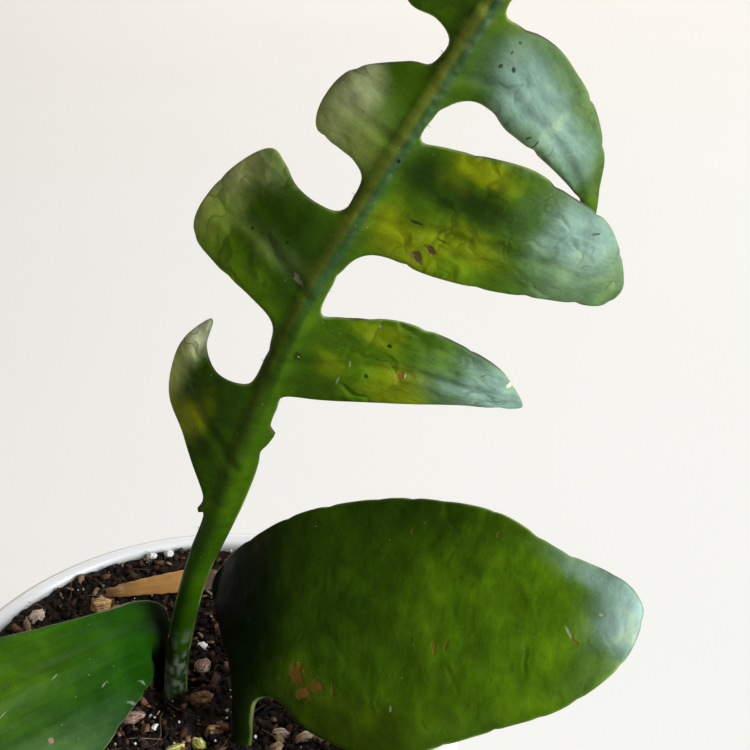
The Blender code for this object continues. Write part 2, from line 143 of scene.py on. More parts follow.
class Nodes:
    """A node tree, with one method that adds any node: its type, its settings, and the
    values or links of its sockets."""

    def __init__(self, tree):
        self.tree = tree
        tree.nodes.clear()

    def node(self, kind, settings=None, values=None, out=0):
        """Adds a node, and reads its output of that number, or all of them where out is None."""
        made = self.tree.nodes.new(kind)
        for name, value in (settings or {}).items():
            if name == "stops":
                self.set_stops(made.color_ramp, value)
            else:
                setattr(made, name, value)
        for name, value in (values or {}).items():
            if isinstance(value, Reading):
                self.tree.links.new(value.socket, made.inputs[name])
            else:
                made.inputs[name].default_value = value
        readings = [Reading(self, socket) for socket in made.outputs]
        return readings[out] if readings and out is not None else readings

    def set_stops(self, ramp, stops):
        while len(ramp.elements) < len(stops):
            ramp.elements.new(1.0)
        for element, (place, colour) in zip(ramp.elements, stops):
            element.position = place
            element.color = (*colour, 1.0)

    def maths(self, operation, *values):
        return self.node("ShaderNodeMath", {"operation": operation}, dict(enumerate(values)))


class Finish(Nodes):
    """A surface: colours and patterns that end in one Principled shader. Sizes are in
    millimetres."""

    def __init__(self, name):
        self.material = bpy.data.materials.new(name)
        self.material.use_nodes = True
        super().__init__(self.material.node_tree)

    def read(self, name, out):
        """A value that the piece's mesh carries. Out is 1 for a vector and 2 for a number."""
        return self.node("ShaderNodeAttribute", {"attribute_name": name}, out=out)

    def place(self):
        """Millimetres on the piece's own axes."""
        spot = self.node("ShaderNodeTexCoord", out=3)
        return self.vector("SCALE", spot, 1 / MM)

    def vector(self, operation, value, other):
        key = 3 if operation == "SCALE" else 1
        return self.node("ShaderNodeVectorMath", {"operation": operation}, {0: value, key: other})

    def parts(self, vector):
        return self.node("ShaderNodeSeparateXYZ", None, {0: vector}, None)

    def stretch(self, vector, sizes, shift=(0, 0, 0)):
        """The vector divided by the three sizes, so a pattern's features have those sizes."""
        scale = tuple(1 / size for size in sizes)
        return self.node("ShaderNodeMapping", None, {0: vector, "Scale": scale, "Location": shift})

    def grain(self, vector, size, detail=2.0, distortion=0.0):
        """Soft noise from 0 to 1 with features of about that size."""
        values = {"Vector": vector, "Scale": 1 / size, "Detail": detail, "Distortion": distortion}
        return self.node("ShaderNodeTexNoise", None, values)

    def cells(self, vector, size, feature="F1"):
        """The distance to the middle of the nearest random cell, or to the cells' edges."""
        values = {"Vector": vector, "Scale": 1 / size}
        return self.node("ShaderNodeTexVoronoi", {"feature": feature}, values)

    def mix(self, share, first, second):
        """From the first colour to the second as share goes from 0 to 1."""
        values = {0: share}
        for key, colour in ((6, first), (7, second)):
            values[key] = colour if isinstance(colour, Reading) else (*colour, 1.0)
        return self.node("ShaderNodeMix", {"data_type": "RGBA"}, values, 2)

    def bump(self, height, distance, strength=1.0):
        values = {"Height": height, "Distance": distance * MM, "Strength": strength}
        return self.node("ShaderNodeBump", None, values)

    def end(self, colour, rough, more=None):
        """One Principled shader. More holds its other sockets by name."""
        values = {"Base Color": colour, "Roughness": rough, **(more or {})}
        shader = self.node("ShaderNodeBsdfPrincipled", None, values)
        self.node("ShaderNodeOutputMaterial", None, {0: shader})
        return self.material


def mesh_of(name, points_mm, faces):
    """A mesh in metres from points in millimetres."""
    mesh = bpy.data.meshes.new(name)
    mesh.from_pydata([tuple(point) for point in np.asarray(points_mm) * MM], [], faces)
    return mesh


def show(name, data):
    """An object at the origin that shows the mesh, light or camera."""
    shown = bpy.data.objects.new(name, data)
    bpy.context.scene.collection.objects.link(shown)
    return shown


def add_body(name, points_mm, faces, material, marks=None):
    """One closed mesh from points in millimetres. Marks are values it carries at its points."""
    mesh = mesh_of(name, points_mm, faces)
    for mark, values in (marks or {}).items():
        kind = "FLOAT" if values.ndim == 1 else "FLOAT_VECTOR"
        field = "value" if values.ndim == 1 else "vector"
        layer = mesh.attributes.new(mark, kind, "POINT")
        layer.data.foreach_set(field, np.asarray(values, np.float32).ravel())
    shape = bmesh.new()
    shape.from_mesh(mesh)
    bmesh.ops.recalc_face_normals(shape, faces=shape.faces)
    shape.to_mesh(mesh)
    shape.free()
    mesh.shade_smooth()
    mesh.materials.append(material)
    return show(name, mesh)


def table_finish():
    """Painted board, with a faint wide unevenness in its tone."""
    finish = Finish("pale_table")
    spot = finish.place()
    cloud = finish.grain(spot, 260, 3)
    colour = finish.mix(cloud, TABLE_GREY, TABLE_PALE)
    return finish.end(colour, 0.6)


half = TABLE_SIZE / 2 / MM
corners = [(-half, -half, 0), (half, -half, 0), (half, half, 0), (-half, half, 0)]
table = add_body("table_top", corners, [(0, 1, 2, 3)], table_finish())

walls = bpy.data.worlds.new("pale_walls")
walls.use_nodes = True
room = Nodes(walls.node_tree)
glow = room.node("ShaderNodeBackground", None, {0: (*WALL_COLOUR, 1.0), 1: WALL_GLOW})
room.node("ShaderNodeOutputWorld", None, {0: glow})
bpy.context.scene.world = walls
bpy.context.scene.view_settings.view_transform = "Standard"


def add_window(name, place, aim, size, watts, colour):
    """A rectangle of soft light at that place, facing the point it is aimed at."""
    light = bpy.data.lights.new(name, "AREA")
    light.shape = "RECTANGLE"
    light.size, light.size_y = size
    light.energy = watts
    light.color = colour
    window = show(name, light)
    window.location = place
    window.rotation_euler = (Vector(aim) - Vector(place)).to_track_quat("-Z", "Y").to_euler()


add_window("right_window", WINDOW_PLACE, PLANT_MIDDLE, WINDOW_SIZE, WINDOW_WATTS, WINDOW_COLOUR)
add_window(
    "far_wall_glow", FAR_WALL_PLACE, FAR_WALL_AIM, FAR_WALL_SIZE, FAR_WALL_WATTS, FAR_WALL_COLOUR
)

lens = bpy.data.cameras.new("camera")
lens.lens = LENS_LENGTH
lens.sensor_width = FILM_WIDTH
camera = show("camera", lens)
camera.location = (CAMERA_X, CAMERA_Y, RIM_HEIGHT + CAMERA_OVER_RIM)
camera.rotation_euler = (math.radians(CAMERA_TILT), 0, 0)
bpy.context.scene.camera = camera

# Pot
# A clay pot thrown on a wheel, with a thick rounded rim, dipped in a soft white glaze. The
# glaze runs thin over the rim and stops short of the foot, which shows the bare clay.

RIM_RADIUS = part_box("pot")[1].x / MM
POT_HEIGHT = RIM_HEIGHT / MM
BASE_RADIUS = 48.0
WALL = 4.5
FLOOR = 6.0
FOOT_ROUND = 2.5
INNER_ROUND = 5.0
POT_SEGMENTS = 192
SOIL_LEVEL = 102.4
FOOT_LIFT = 0.8  # the middle of the underside stands this much clear of the table
FOOT_RING = 9.0
GLAZE_GREY = (0.60, 0.59, 0.565)
GLAZE_WHITE = (0.69, 0.68, 0.655)
GLAZE_LIP_HIGHLIGHT = (0.82, 0.81, 0.80)
GLAZE_THIN = (0.74, 0.66, 0.55)
INNER_PAINTED_SHADE = (0.33, 0.29, 0.25)
TIDE_BROWN = (0.10, 0.065, 0.04)
SPLASH_BROWN = (0.07, 0.045, 0.03)
CLAY_DARK = (0.46, 0.36, 0.26)
CLAY_PALE = (0.56, 0.46, 0.35)


def turned(profile, segments, wobble=None):
    """Points and faces of a profile turned about Z. Its two ends lie on the axis."""
    first, *rows, last = profile
    turn = np.arange(segments) * 2 * math.pi / segments
    rings = []
    for radius, height in rows:
        radii = np.full(segments, radius)
        heights = np.full(segments, height)
        if wobble:
            radii, heights = wobble(radii, heights, turn)
        rings.append(np.stack([radii * np.cos(turn), radii * np.sin(turn), heights], 1))
    points = np.vstack([[(0, 0, first[1])], *rings, [(0, 0, last[1])]])
    end = len(points) - 1
    last_ring = end - segments
    faces = []
    for step in range(segments):
        after = (step + 1) % segments
        faces.append((0, 1 + after, 1 + step))
        faces.append((end, last_ring + step, last_ring + after))
        for row in range(len(rows) - 1):
            low = 1 + row * segments
            high = low + segments
            faces.append((low + step, low + after, high + after, high + step))
    return points, faces


def outer_radius(height):
    return BASE_RADIUS + (RIM_RADIUS - BASE_RADIUS) * height / POT_HEIGHT


def inner_radius(height):
    return outer_radius(height) - WALL


def arc(centre, radius, start, stop, steps):
    """Points on an arc in the profile plane, angles in degrees."""
    turn = np.radians(np.linspace(start, stop, steps + 1))
    return list(zip(centre[0] + radius * np.cos(turn), centre[1] + radius * np.sin(turn)))


def pot_profile():
    """Half the pot's section, from the middle of its underside over the rim to its floor."""
    lip = WALL / 2
    corner = FLOOR + INNER_ROUND
    heights = np.linspace(FOOT_ROUND + 3, POT_HEIGHT - lip - 3, 24)
    ring = BASE_RADIUS - FOOT_RING
    profile = [(0.0, FOOT_LIFT), (ring, FOOT_LIFT), (ring + FOOT_LIFT, 0.0)]
    profile += arc((outer_radius(FOOT_ROUND) - FOOT_ROUND, FOOT_ROUND), FOOT_ROUND, -90, 0, 8)
    profile += [(outer_radius(h), h) for h in heights]
    profile += arc((outer_radius(POT_HEIGHT - lip) - lip, POT_HEIGHT - lip), lip, 0, 180, 16)
    profile += [(inner_radius(h), h) for h in heights[::-1] if h > corner + 2]
    profile += arc((inner_radius(corner) - INNER_ROUND, corner), INNER_ROUND, 0, -90, 8)
    return profile + [(0.0, FLOOR)]


def thrown(radii, heights, turn):
    """The small unevenness of a pot made on a wheel, none of it at the foot."""
    share = np.clip(heights / 20, 0, 1)
    ring = 0.05 * np.sin(heights * 0.9 + turn) * share
    oval = 0.12 * np.sin(2 * turn + 0.6) * share - 0.12 * share
    return radii + ring + oval, heights


def glaze_finish():
    """Glaze over clay, whitened over the rim by a painted highlight. Inside it has painted shade
    under the rim and is dirty, with a tide mark where the mix lies.
    """
    finish = Finish("pot_glaze")
    spot = finish.place()
    x, y, z = finish.parts(spot)
    radius = (x * x + y * y) ** 0.5
    cloud = finish.grain(spot, 26, 3)
    colour = finish.mix(cloud, GLAZE_GREY, GLAZE_WHITE)
    # Painted highlight: the glaze is whitened towards the top of the rim.
    colour = finish.mix(z.rise(POT_HEIGHT - 9, POT_HEIGHT - 2), colour, GLAZE_LIP_HIGHLIGHT)
    thin = z.rise(POT_HEIGHT - 1.6, POT_HEIGHT) * finish.grain(spot, 5, 2).rise(0.35, 0.75)
    colour = finish.mix(thin * 0.35, colour, GLAZE_THIN)
    inside = (radius - z / 9).rise(inner_radius(0) + 1.4, inner_radius(0) + 0.4)
    damp = z.rise(SOIL_LEVEL + 3.2, SOIL_LEVEL - 0.5) * inside
    # Painted shade: the inner wall greys below the rim.
    shaded = z.rise(POT_HEIGHT - 0.4, POT_HEIGHT - 3.2) * inside
    colour = finish.mix(shaded * 0.85, colour, INNER_PAINTED_SHADE)
    tide = damp * (finish.grain(spot, 2.4, 4) * 1.2).rise(0.3, 0.75)
    colour = finish.mix(tide * 0.8, colour, TIDE_BROWN)
    specks = finish.cells(spot, 1.5).rise(0.2, 0.12) * inside * z.rise(POT_HEIGHT - 1, SOIL_LEVEL)
    colour = finish.mix(specks * 0.8, colour, SPLASH_BROWN)
    clay = (z + finish.grain(spot, 4, 2) * 1.5).rise(2.6, 2.2)
    bare = finish.mix(finish.grain(spot, 1.2, 3), CLAY_DARK, CLAY_PALE)
    colour = finish.mix(clay, colour, bare)
    rough = finish.grain(spot, 14, 2) * 0.10 + 0.26 + clay * 0.45 + tide * 0.4
    peel = finish.grain(spot, 1.6, 1) * 0.03 + finish.grain(spot, 9, 1) * 0.12
    grit = finish.grain(spot, 0.5, 2) * clay * 0.2
    return finish.end(colour, rough, {"Normal": finish.bump(peel + grit, 1.0, 0.22)})


pot = add_body("glazed_pot", *turned(pot_profile(), POT_SEGMENTS, thrown), glaze_finish())
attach(pot, "root")
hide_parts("pot")

# Potting mix
# Damp dark peat with composted bark in it, filled to a few millimetres under the rim. The
# body fills the pot. Crumbs, root fibres, flakes and grit lie loose over its top.

SOIL_GAP = 0.3
SOIL_SEGMENTS = 240
SOIL_RINGS = 70
SOIL_CHAMFER = 6.0
WAVE_HEIGHT = 0.8
SMALL_WAVE_HEIGHT = 0.6
HEAP_HEIGHT = 3.6
HEAP_START = 32.0
HEAP_TURN = 130.0
WALL_HEIGHTS = (101.0, 70.0, FLOOR + SOIL_CHAMFER)  # of the rings down the pot's wall
DAMP_SHINE = 0.15
PEAT_BLACK = (0.004, 0.0025, 0.0015)
PEAT_BROWN = (0.022, 0.012, 0.007)
PEAT_FLECK = (0.11, 0.06, 0.03)
PEAT_THREAD = (0.10, 0.06, 0.035)
CRUMB_SHADE = (0.006, 0.004, 0.003)
FIBRE_HALF = 0.11
WIDE_CLOD = 3.4
SMALL_CLOD = 1.5
SOIL_GRAIN = 1.1


def soil_swell(x, y):
    """How far the mix rises above its level. It is heaped against the back left of the wall."""
    waves = WAVE_HEIGHT * np.sin(0.19 * x + 1.3) * np.cos(0.16 * y)
    waves = waves + SMALL_WAVE_HEIGHT * np.sin(0.33 * x - 0.27 * y + 0.5)
    towards_heap = 0.5 + 0.5 * np.cos(np.arctan2(y, x) - math.radians(HEAP_TURN))
    share = np.clip((np.hypot(x, y) - HEAP_START) / (RIM_RADIUS - WALL - HEAP_START), 0, 1)
    heap = HEAP_HEIGHT * share * share * (3 - 2 * share) * towards_heap**2
    return waves * (1 - 0.6 * share) + heap


def clods(x, y):
    """Rounded lumps of two sizes with fine grit between them."""
    rise = []
    for spot in zip(x, y):
        here = Vector((*spot, 0))
        wide = noise.voronoi(here / WIDE_CLOD + Vector((0, 0, 1.5)))[0][0]
        small = noise.voronoi(here / SMALL_CLOD + Vector((0, 0, 4.2)))[0][0]
        fine = noise.fractal(here / SOIL_GRAIN, 0.9, 2.1, 3)
        rise.append(1.3 * (0.45 - wide) + 0.6 * (0.4 - small) + 0.22 * fine)
    return np.array(rise)


def soil_body():
    """The mix as one turned body, its top swollen and clodded."""
    top_radius = inner_radius(SOIL_LEVEL) - SOIL_GAP
    rings = np.linspace(0, top_radius, SOIL_RINGS + 1)[1:]
    profile = [(0.0, SOIL_LEVEL)] + [(radius, SOIL_LEVEL) for radius in rings]
    profile += [(inner_radius(height) - SOIL_GAP, height) for height in WALL_HEIGHTS]
    profile += [(inner_radius(FLOOR) - SOIL_GAP - SOIL_CHAMFER, FLOOR + SOIL_GAP)]
    profile += [(0.0, FLOOR + SOIL_GAP)]
    points, faces = turned(profile, SOIL_SEGMENTS)
    top = points[:, 2] >= SOIL_LEVEL
    x, y = points[top, 0], points[top, 1]
    points[top, 2] += soil_swell(x, y) + clods(x, y)
    return points, faces


def peat_finish():
    """Nearly black damp peat, with brown flecks and threads in it."""
    finish = Finish("damp_peat")
    spot = finish.place()
    cloud = finish.grain(spot, 5, 4)
    colour = finish.mix(cloud.rise(0.35, 0.7), PEAT_BLACK, PEAT_BROWN)
    flecks = finish.cells(spot, 1.3).rise(0.30, 0.18) * finish.grain(spot, 3.1, 2).rise(0.5, 0.62)
    colour = finish.mix(flecks, colour, PEAT_FLECK)
    threads = finish.grain(finish.stretch(spot, (6, 0.7, 2)), 1, 2).rise(0.68, 0.74)
    colour = finish.mix(threads * 0.5, colour, PEAT_THREAD)
    height = finish.grain(spot, 0.9, 4)
    rough = finish.grain(spot, 2.4, 2) * 0.35 + 0.6
    normal = finish.bump(height, 0.6)
    return finish.end(colour, rough, {"Normal": normal, "Specular IOR Level": DAMP_SHINE})


soil = add_body("potting_mix", *soil_body(), peat_finish())
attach(soil, "root")
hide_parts("potting_soil")


def crumb_shape(name, sizes, seed):
    """A small irregular lump, about a millimetre across before it is scattered."""
    shape = bmesh.new()
    bmesh.ops.create_icosphere(shape, subdivisions=1, radius=0.5 * MM)
    chance = np.random.default_rng(seed)
    for vertex in shape.verts:
        vertex.co = Vector(np.array(vertex.co) * sizes * chance.uniform(0.7, 1.25))
    mesh = bpy.data.meshes.new(name)
    shape.to_mesh(mesh)
    shape.free()
    return mesh


def triangle(radius):
    """The three corners of a thin hair's section."""
    turns = [corner * 2 * math.pi / 3 for corner in range(3)]
    return [(radius * math.cos(turn), radius * math.sin(turn)) for turn in turns]


def fibre_shape(name, bends, seed):
    """A thin three-sided root hair, ten millimetres long before it is scattered."""
    chance = np.random.default_rng(seed)
    steps = np.linspace(-1, 1, 9)
    wave = bends[0] * np.sin(steps * 2.2 + chance.uniform(0, 3)) + bends[1] * steps**2
    lift = 0.35 * np.cos(steps * 2.6)
    line = np.stack([5 * steps, wave, lift], 1)
    points = []
    for spot, share in zip(line, np.sqrt(1.02 - steps**2)):
        for x, y in triangle(share * FIBRE_HALF):
            points.append(spot + (0, x, y))
    faces = [(0, 1, 2), (24, 26, 25)]
    for row in range(8):
        for corner in range(3):
            after = (corner + 1) % 3
            low = 3 * row
            faces.append((low + corner, low + 3 + corner, low + 3 + after, low + after))
    return mesh_of(name, points, faces)


def laid_out(name, ground_label, sizes):
    """A node tree with a ground and some sizes as its inputs. Gives the tree's bench, the
    readings of its inputs by label, and the sizes by socket."""
    tree = bpy.data.node_groups.new(name, "GeometryNodeTree")
    tree.interface.new_socket("Geometry", in_out="OUTPUT", socket_type="NodeSocketGeometry")
    tree.interface.new_socket(ground_label, in_out="INPUT", socket_type="NodeSocketGeometry")
    values = {}
    for label, size in sizes.items():
        socket = tree.interface.new_socket(label, in_out="INPUT", socket_type="NodeSocketFloat")
        values[socket.identifier] = size
    bench = Nodes(tree)
    given = bench.node("NodeGroupInput", out=None)
    return bench, {reading.socket.name: reading for reading in given}, values


def grown(name, ground, bench, copies, material, values):
    """The copies that the tree lays on the ground object, as one plain mesh in its place."""
    solid = bench.node("GeometryNodeRealizeInstances", None, {0: copies})
    dressed = bench.node("GeometryNodeSetMaterial", None, {0: solid, "Material": material})
    bench.node("NodeGroupOutput", None, {0: dressed})
    laid = ground.modifiers.new(name, "NODES")
    laid.node_group = bench.tree
    for key, value in values.items():
        laid[key] = value
    bpy.context.view_layer.update()
    ready = ground.evaluated_get(bpy.context.evaluated_depsgraph_get())
    mesh = bpy.data.meshes.new_from_object(ready)
    mesh.name = name
    mesh.shade_smooth()
    bpy.data.objects.remove(ground)
    return show(name, mesh)


def scatter(name, shapes, material, per_square_cm, sizes, tilt, seed, lift=0.1):
    """Lays copies of the shapes at random over the mix, and makes one plain mesh of them."""
    top_radius = inner_radius(SOIL_LEVEL) - 1.0
    profile = [(radius, SOIL_LEVEL) for radius in np.linspace(0, top_radius, 30)]
    points, faces = turned([(0.0, SOIL_LEVEL), *profile[1:], (0.0, SOIL_LEVEL)], 64)
    points, faces = points[:-1], [face for face in faces if len(points) - 1 not in face]
    points[:, 2] += soil_swell(points[:, 0], points[:, 1]) + lift
    ground = show(name + "_bed", mesh_of(name + "_bed", points, [face[::-1] for face in faces]))
    kinds = bpy.data.collections.new(name + "_kinds")
    for index, shape in enumerate(shapes):
        kinds.objects.link(bpy.data.objects.new(f"{name}_kind_{index}", shape))
    wanted = {"Per square metre": per_square_cm * 1e4, "Smallest": sizes[0]}
    wanted |= {"Largest": sizes[1], "Tilt": math.radians(tilt)}
    bench, given, values = laid_out(name + "_scatter", "Ground", wanted)
    spots = bench.node(
        "GeometryNodeDistributePointsOnFaces", {"distribute_method": "RANDOM"},
        {"Mesh": given["Ground"], "Density": given["Per square metre"], "Seed": seed},
    )  # fmt: skip
    kind = bench.node(
        "GeometryNodeCollectionInfo", {"transform_space": "ORIGINAL"},
        {"Collection": kinds, "Separate Children": True, "Reset Children": True},
    )  # fmt: skip
    down = given["Tilt"] * -1
    low = bench.node("ShaderNodeCombineXYZ", None, {0: down, 1: down, 2: -math.pi})
    high = bench.node("ShaderNodeCombineXYZ", None, {0: given["Tilt"], 1: given["Tilt"], 2: math.pi})
    vector = {"data_type": "FLOAT_VECTOR"}
    turn = bench.node("FunctionNodeRandomValue", vector, {0: low, 1: high, "Seed": seed + 1})
    chance = bench.node("FunctionNodeRandomValue", None, {2: 0.0, 3: 1.0, "Seed": seed + 2}, 1)
    size = given["Smallest"] + (given["Largest"] - given["Smallest"]) * chance**2.2
    copies = bench.node(
        "GeometryNodeInstanceOnPoints", None,
        {"Points": spots, "Instance": kind, "Pick Instance": True, "Rotation": turn, "Scale": size},
    )  # fmt: skip
    tone = bench.node("FunctionNodeRandomValue", None, {2: 0.0, 3: 1.0, "Seed": seed + 3}, 1)
    toned = bench.node(
        "GeometryNodeStoreNamedAttribute", {"data_type": "FLOAT", "domain": "INSTANCE"},
        {"Geometry": copies, "Name": "tone", "Value": tone},
    )  # fmt: skip
    loose = grown(name, ground, bench, toned, material, values)
    for made in list(kinds.objects):
        bpy.data.objects.remove(made)
    bpy.data.collections.remove(kinds)
    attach(loose, "root")


def crumb_finish(name, stops):
    """Loose bits that differ in colour from one to the next."""
    finish = Finish(name)
    spot = finish.place()
    tone = finish.read("tone", 2)
    own = finish.node("ShaderNodeValToRGB", {"stops": stops}, {0: tone})
    cloud = finish.grain(spot, 0.5, 3)
    colour = finish.mix(cloud.rise(0.3, 0.75) * 0.55, own, CRUMB_SHADE)
    normal = finish.bump(cloud, 0.2)
    return finish.end(colour, 0.9, {"Normal": normal, "Specular IOR Level": DAMP_SHINE})


PEAT_STOPS = [
    (0.0, (0.004, 0.0025, 0.002)), (0.55, (0.013, 0.007, 0.004)), (0.85, (0.038, 0.020, 0.011)),
    (1.0, (0.10, 0.052, 0.026)),
]  # fmt: skip
FLAKE_STOPS = [
    (0.0, (0.03, 0.014, 0.008)), (0.45, (0.10, 0.048, 0.024)), (0.75, (0.22, 0.12, 0.065)),
    (0.92, (0.38, 0.25, 0.15)), (1.0, (0.42, 0.37, 0.16)),
]  # fmt: skip
FIBRE_STOPS = [(0.0, (0.06, 0.03, 0.016)), (0.6, (0.19, 0.10, 0.05)), (1.0, (0.42, 0.29, 0.18))]
GRIT_STOPS = [(0.0, (0.30, 0.25, 0.20)), (0.5, (0.55, 0.51, 0.45)), (1.0, (0.80, 0.78, 0.74))]

lumps = [crumb_shape(f"crumb_{n}", (1.2, 1.0, 0.8), n) for n in range(5)]
flakes = [crumb_shape(f"flake_{n}", (1.7, 0.9, 0.32), 20 + n) for n in range(4)]
hairs = [fibre_shape(f"hair_{n}", (0.9 + 0.4 * n, 1.1 - 0.5 * n), n) for n in range(4)]
grains = [crumb_shape(f"grit_{n}", (1.0, 0.9, 0.85), 40 + n) for n in range(3)]
scatter("peat_crumbs", lumps, crumb_finish("peat_crumb", PEAT_STOPS), 44, (0.5, 2.6), 180, 3)
scatter("bark_flakes", flakes, crumb_finish("bark_flake", FLAKE_STOPS), 7, (0.7, 3.2), 50, 11, 0.6)
scatter("root_fibres", hairs, crumb_finish("root_fibre", FIBRE_STOPS), 3.2, (0.25, 1.0), 22, 19, 0.7)
scatter("pale_grit", grains, crumb_finish("pale_grit", GRIT_STOPS), 2.2, (0.35, 1.1), 180, 27, 0.7)

# Bark and perlite
# Composted pine bark in chips a few millimetres long, and grains of white expanded
# perlite. Each piece lies half sunk in the mix, in the place where it was dropped.

CHIP_CUTS = 3
BARK_BROWN = ((0.055, 0.027, 0.014), (0.20, 0.10, 0.05), (0.36, 0.21, 0.12))
BARK_TAN = ((0.20, 0.10, 0.035), (0.52, 0.30, 0.12), (0.70, 0.47, 0.24))
BARK_PALE = ((0.30, 0.22, 0.15), (0.58, 0.46, 0.34), (0.78, 0.68, 0.56))
BARK_PINK = ((0.10, 0.05, 0.035), (0.33, 0.20, 0.15), (0.60, 0.44, 0.36))
BARK_MOSSY = ((0.16, 0.15, 0.02), (0.42, 0.40, 0.09), (0.66, 0.62, 0.28))
CHIP_COLOURS = {
    1: BARK_TAN, 2: BARK_PALE, 4: BARK_PINK, 5: BARK_TAN, 6: BARK_PINK, 7: BARK_MOSSY,
    8: BARK_MOSSY, 9: BARK_PALE, 10: BARK_PALE, 12: BARK_TAN, 15: BARK_PALE, 17: BARK_PINK,
}  # fmt: skip
BARK_SHINE = 0.2
PERLITE_PIT = (0.42, 0.37, 0.31)
PERLITE_WHITE = (0.80, 0.78, 0.74)
PERLITE_STAIN = (0.40, 0.30, 0.22)


def own_axes(points):
    """The points turned to a piece's own length, width and thickness, in millimetres."""
    centred = points - points.mean(0)
    turned_to = np.linalg.svd(centred, full_matrices=False)[2]
    return centred @ turned_to.T


def weathered(node, layers, roughness, seed):
    """The piece with worn corners, and a split or pitted surface. Layers is the thickness
    in millimetres between its splits."""
    shape = bmesh.new()
    shape.from_mesh(frame["nodes"][node].data)
    bmesh.ops.remove_doubles(shape, verts=shape.verts, dist=1e-6)
    bmesh.ops.subdivide_edges(shape, edges=shape.edges, cuts=CHIP_CUTS, use_grid_fill=True)
    for _ in range(2):
        bmesh.ops.smooth_vert(shape, verts=shape.verts, factor=0.5)
    shape.normal_update()
    points = np.array([vertex.co for vertex in shape.verts]) / MM
    normals = np.array([vertex.normal for vertex in shape.verts])
    faces = [tuple(vertex.index for vertex in face.verts) for face in shape.faces]
    shape.free()
    local = own_axes(points)
    shift = Vector((seed * 7.3, 0, 0))
    rise = []
    for along, across, up in local:
        split = noise.noise(Vector((along / 5, across / 0.9, up / layers)) + shift)
        pit = noise.noise(Vector((along, across, up)) / 0.8 + shift)
        rise.append(0.12 + roughness * (0.6 * split + 0.4 * pit))
    return points + np.array(rise)[:, None] * normals, faces, {"own": local}


def loose_pieces(prefix):
    """The frame's nodes of that kind, with their numbers."""
    names = sorted(name for name in frame["nodes"] if name.startswith(prefix))
    return [(name, int(name[-2:])) for name in names]


def bark_finish(name, colours):
    """Fibrous bark, dark in the splits and paler on the torn faces."""
    dark, middle, pale = colours
    finish = Finish(name)
    own = finish.read("own", 1)
    fibre = finish.grain(finish.stretch(own, (2.6, 0.35, 0.35)), 1, 3)
    cloud = finish.grain(own, 1.4, 3)
    colour = finish.mix(fibre.rise(0.35, 0.6), dark, middle)
    colour = finish.mix((fibre * cloud).rise(0.26, 0.42), colour, pale)
    normal = finish.bump(fibre + cloud * 0.5, 0.35)
    return finish.end(colour, 0.88, {"Normal": normal, "Specular IOR Level": BARK_SHINE})


def perlite_finish():
    """White glassy foam with open pits, stained here and there by the mix."""
    finish = Finish("perlite_white")
    own = finish.read("own", 1)
    pits = finish.cells(own, 0.45).rise(0.16, 0.32)
    cloud = finish.grain(own, 0.9, 3)
    colour = finish.mix(pits, PERLITE_PIT, PERLITE_WHITE)
    colour = finish.mix(cloud.rise(0.55, 0.75) * 0.5, colour, PERLITE_STAIN)
    return finish.end(colour, 0.9, {"Normal": finish.bump(pits + cloud, 0.3)})


bark_skins = {}
for node, number in loose_pieces("bark_chip"):
    colours = CHIP_COLOURS.get(number, BARK_BROWN)
    if colours not in bark_skins:
        bark_skins[colours] = bark_finish(f"bark_{len(bark_skins) + 1}", colours)
    points, faces, marks = weathered(node, 0.7, 0.55, number)
    chip = add_body(f"bark_{number:02d}", points, faces, bark_skins[colours], marks)
    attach(chip, "root")
    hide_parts(node)

perlite_skin = perlite_finish()
for node, number in loose_pieces("perlite_grain"):
    points, faces, marks = weathered(node, 1.0, 0.35, 50 + number)
    grain = add_body(f"perlite_{number:02d}", points, faces, perlite_skin, marks)
    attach(grain, "root")
    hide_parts(node)

# Lobed stem
# A flat fleshy stem of the fishbone kind, grown in one piece: a round stalk at the soil that
# becomes a raised midrib, with thick leathery lobes left and right that curl backwards.

STEM_HALF = 1.0
RIB_HALF = 1.5
RIB_WIDTH = 3.2
CREST_WIDTH = 2.0
ROOT = 4.0  # where a lobe starts to bend, away from the midrib
SKIN_SPACING = 0.85
EDGE_ROUND = 1.0
EDGE_ROWS = (0.14, 0.45, 1.0)  # rows of points that follow the edge inside it
TAPER = 5.0
EDGE_THICKNESS = 0.62  # of the thickness further in
LOBED_PATH = [
    (-8, 0, 80.6), (-6.5, 0.2, 103), (-4.8, 0.4, 115.8), (-0.5, 0.7, 133), (4.8, 1.1, 146.4),
    (11.5, 1.7, 165), (23.5, 2.5, 194), (36.3, 3, 216), (51.5, 2.6, 241), (62.5, 0.5, 261),
    (70.5, -4, 286), (73.5, -9, 307),
]  # fmt: skip
LOBED_FACING = [(0, -1, 0)] * 10 + [(0, -1, 0.1), (0, -1, 0.2)]
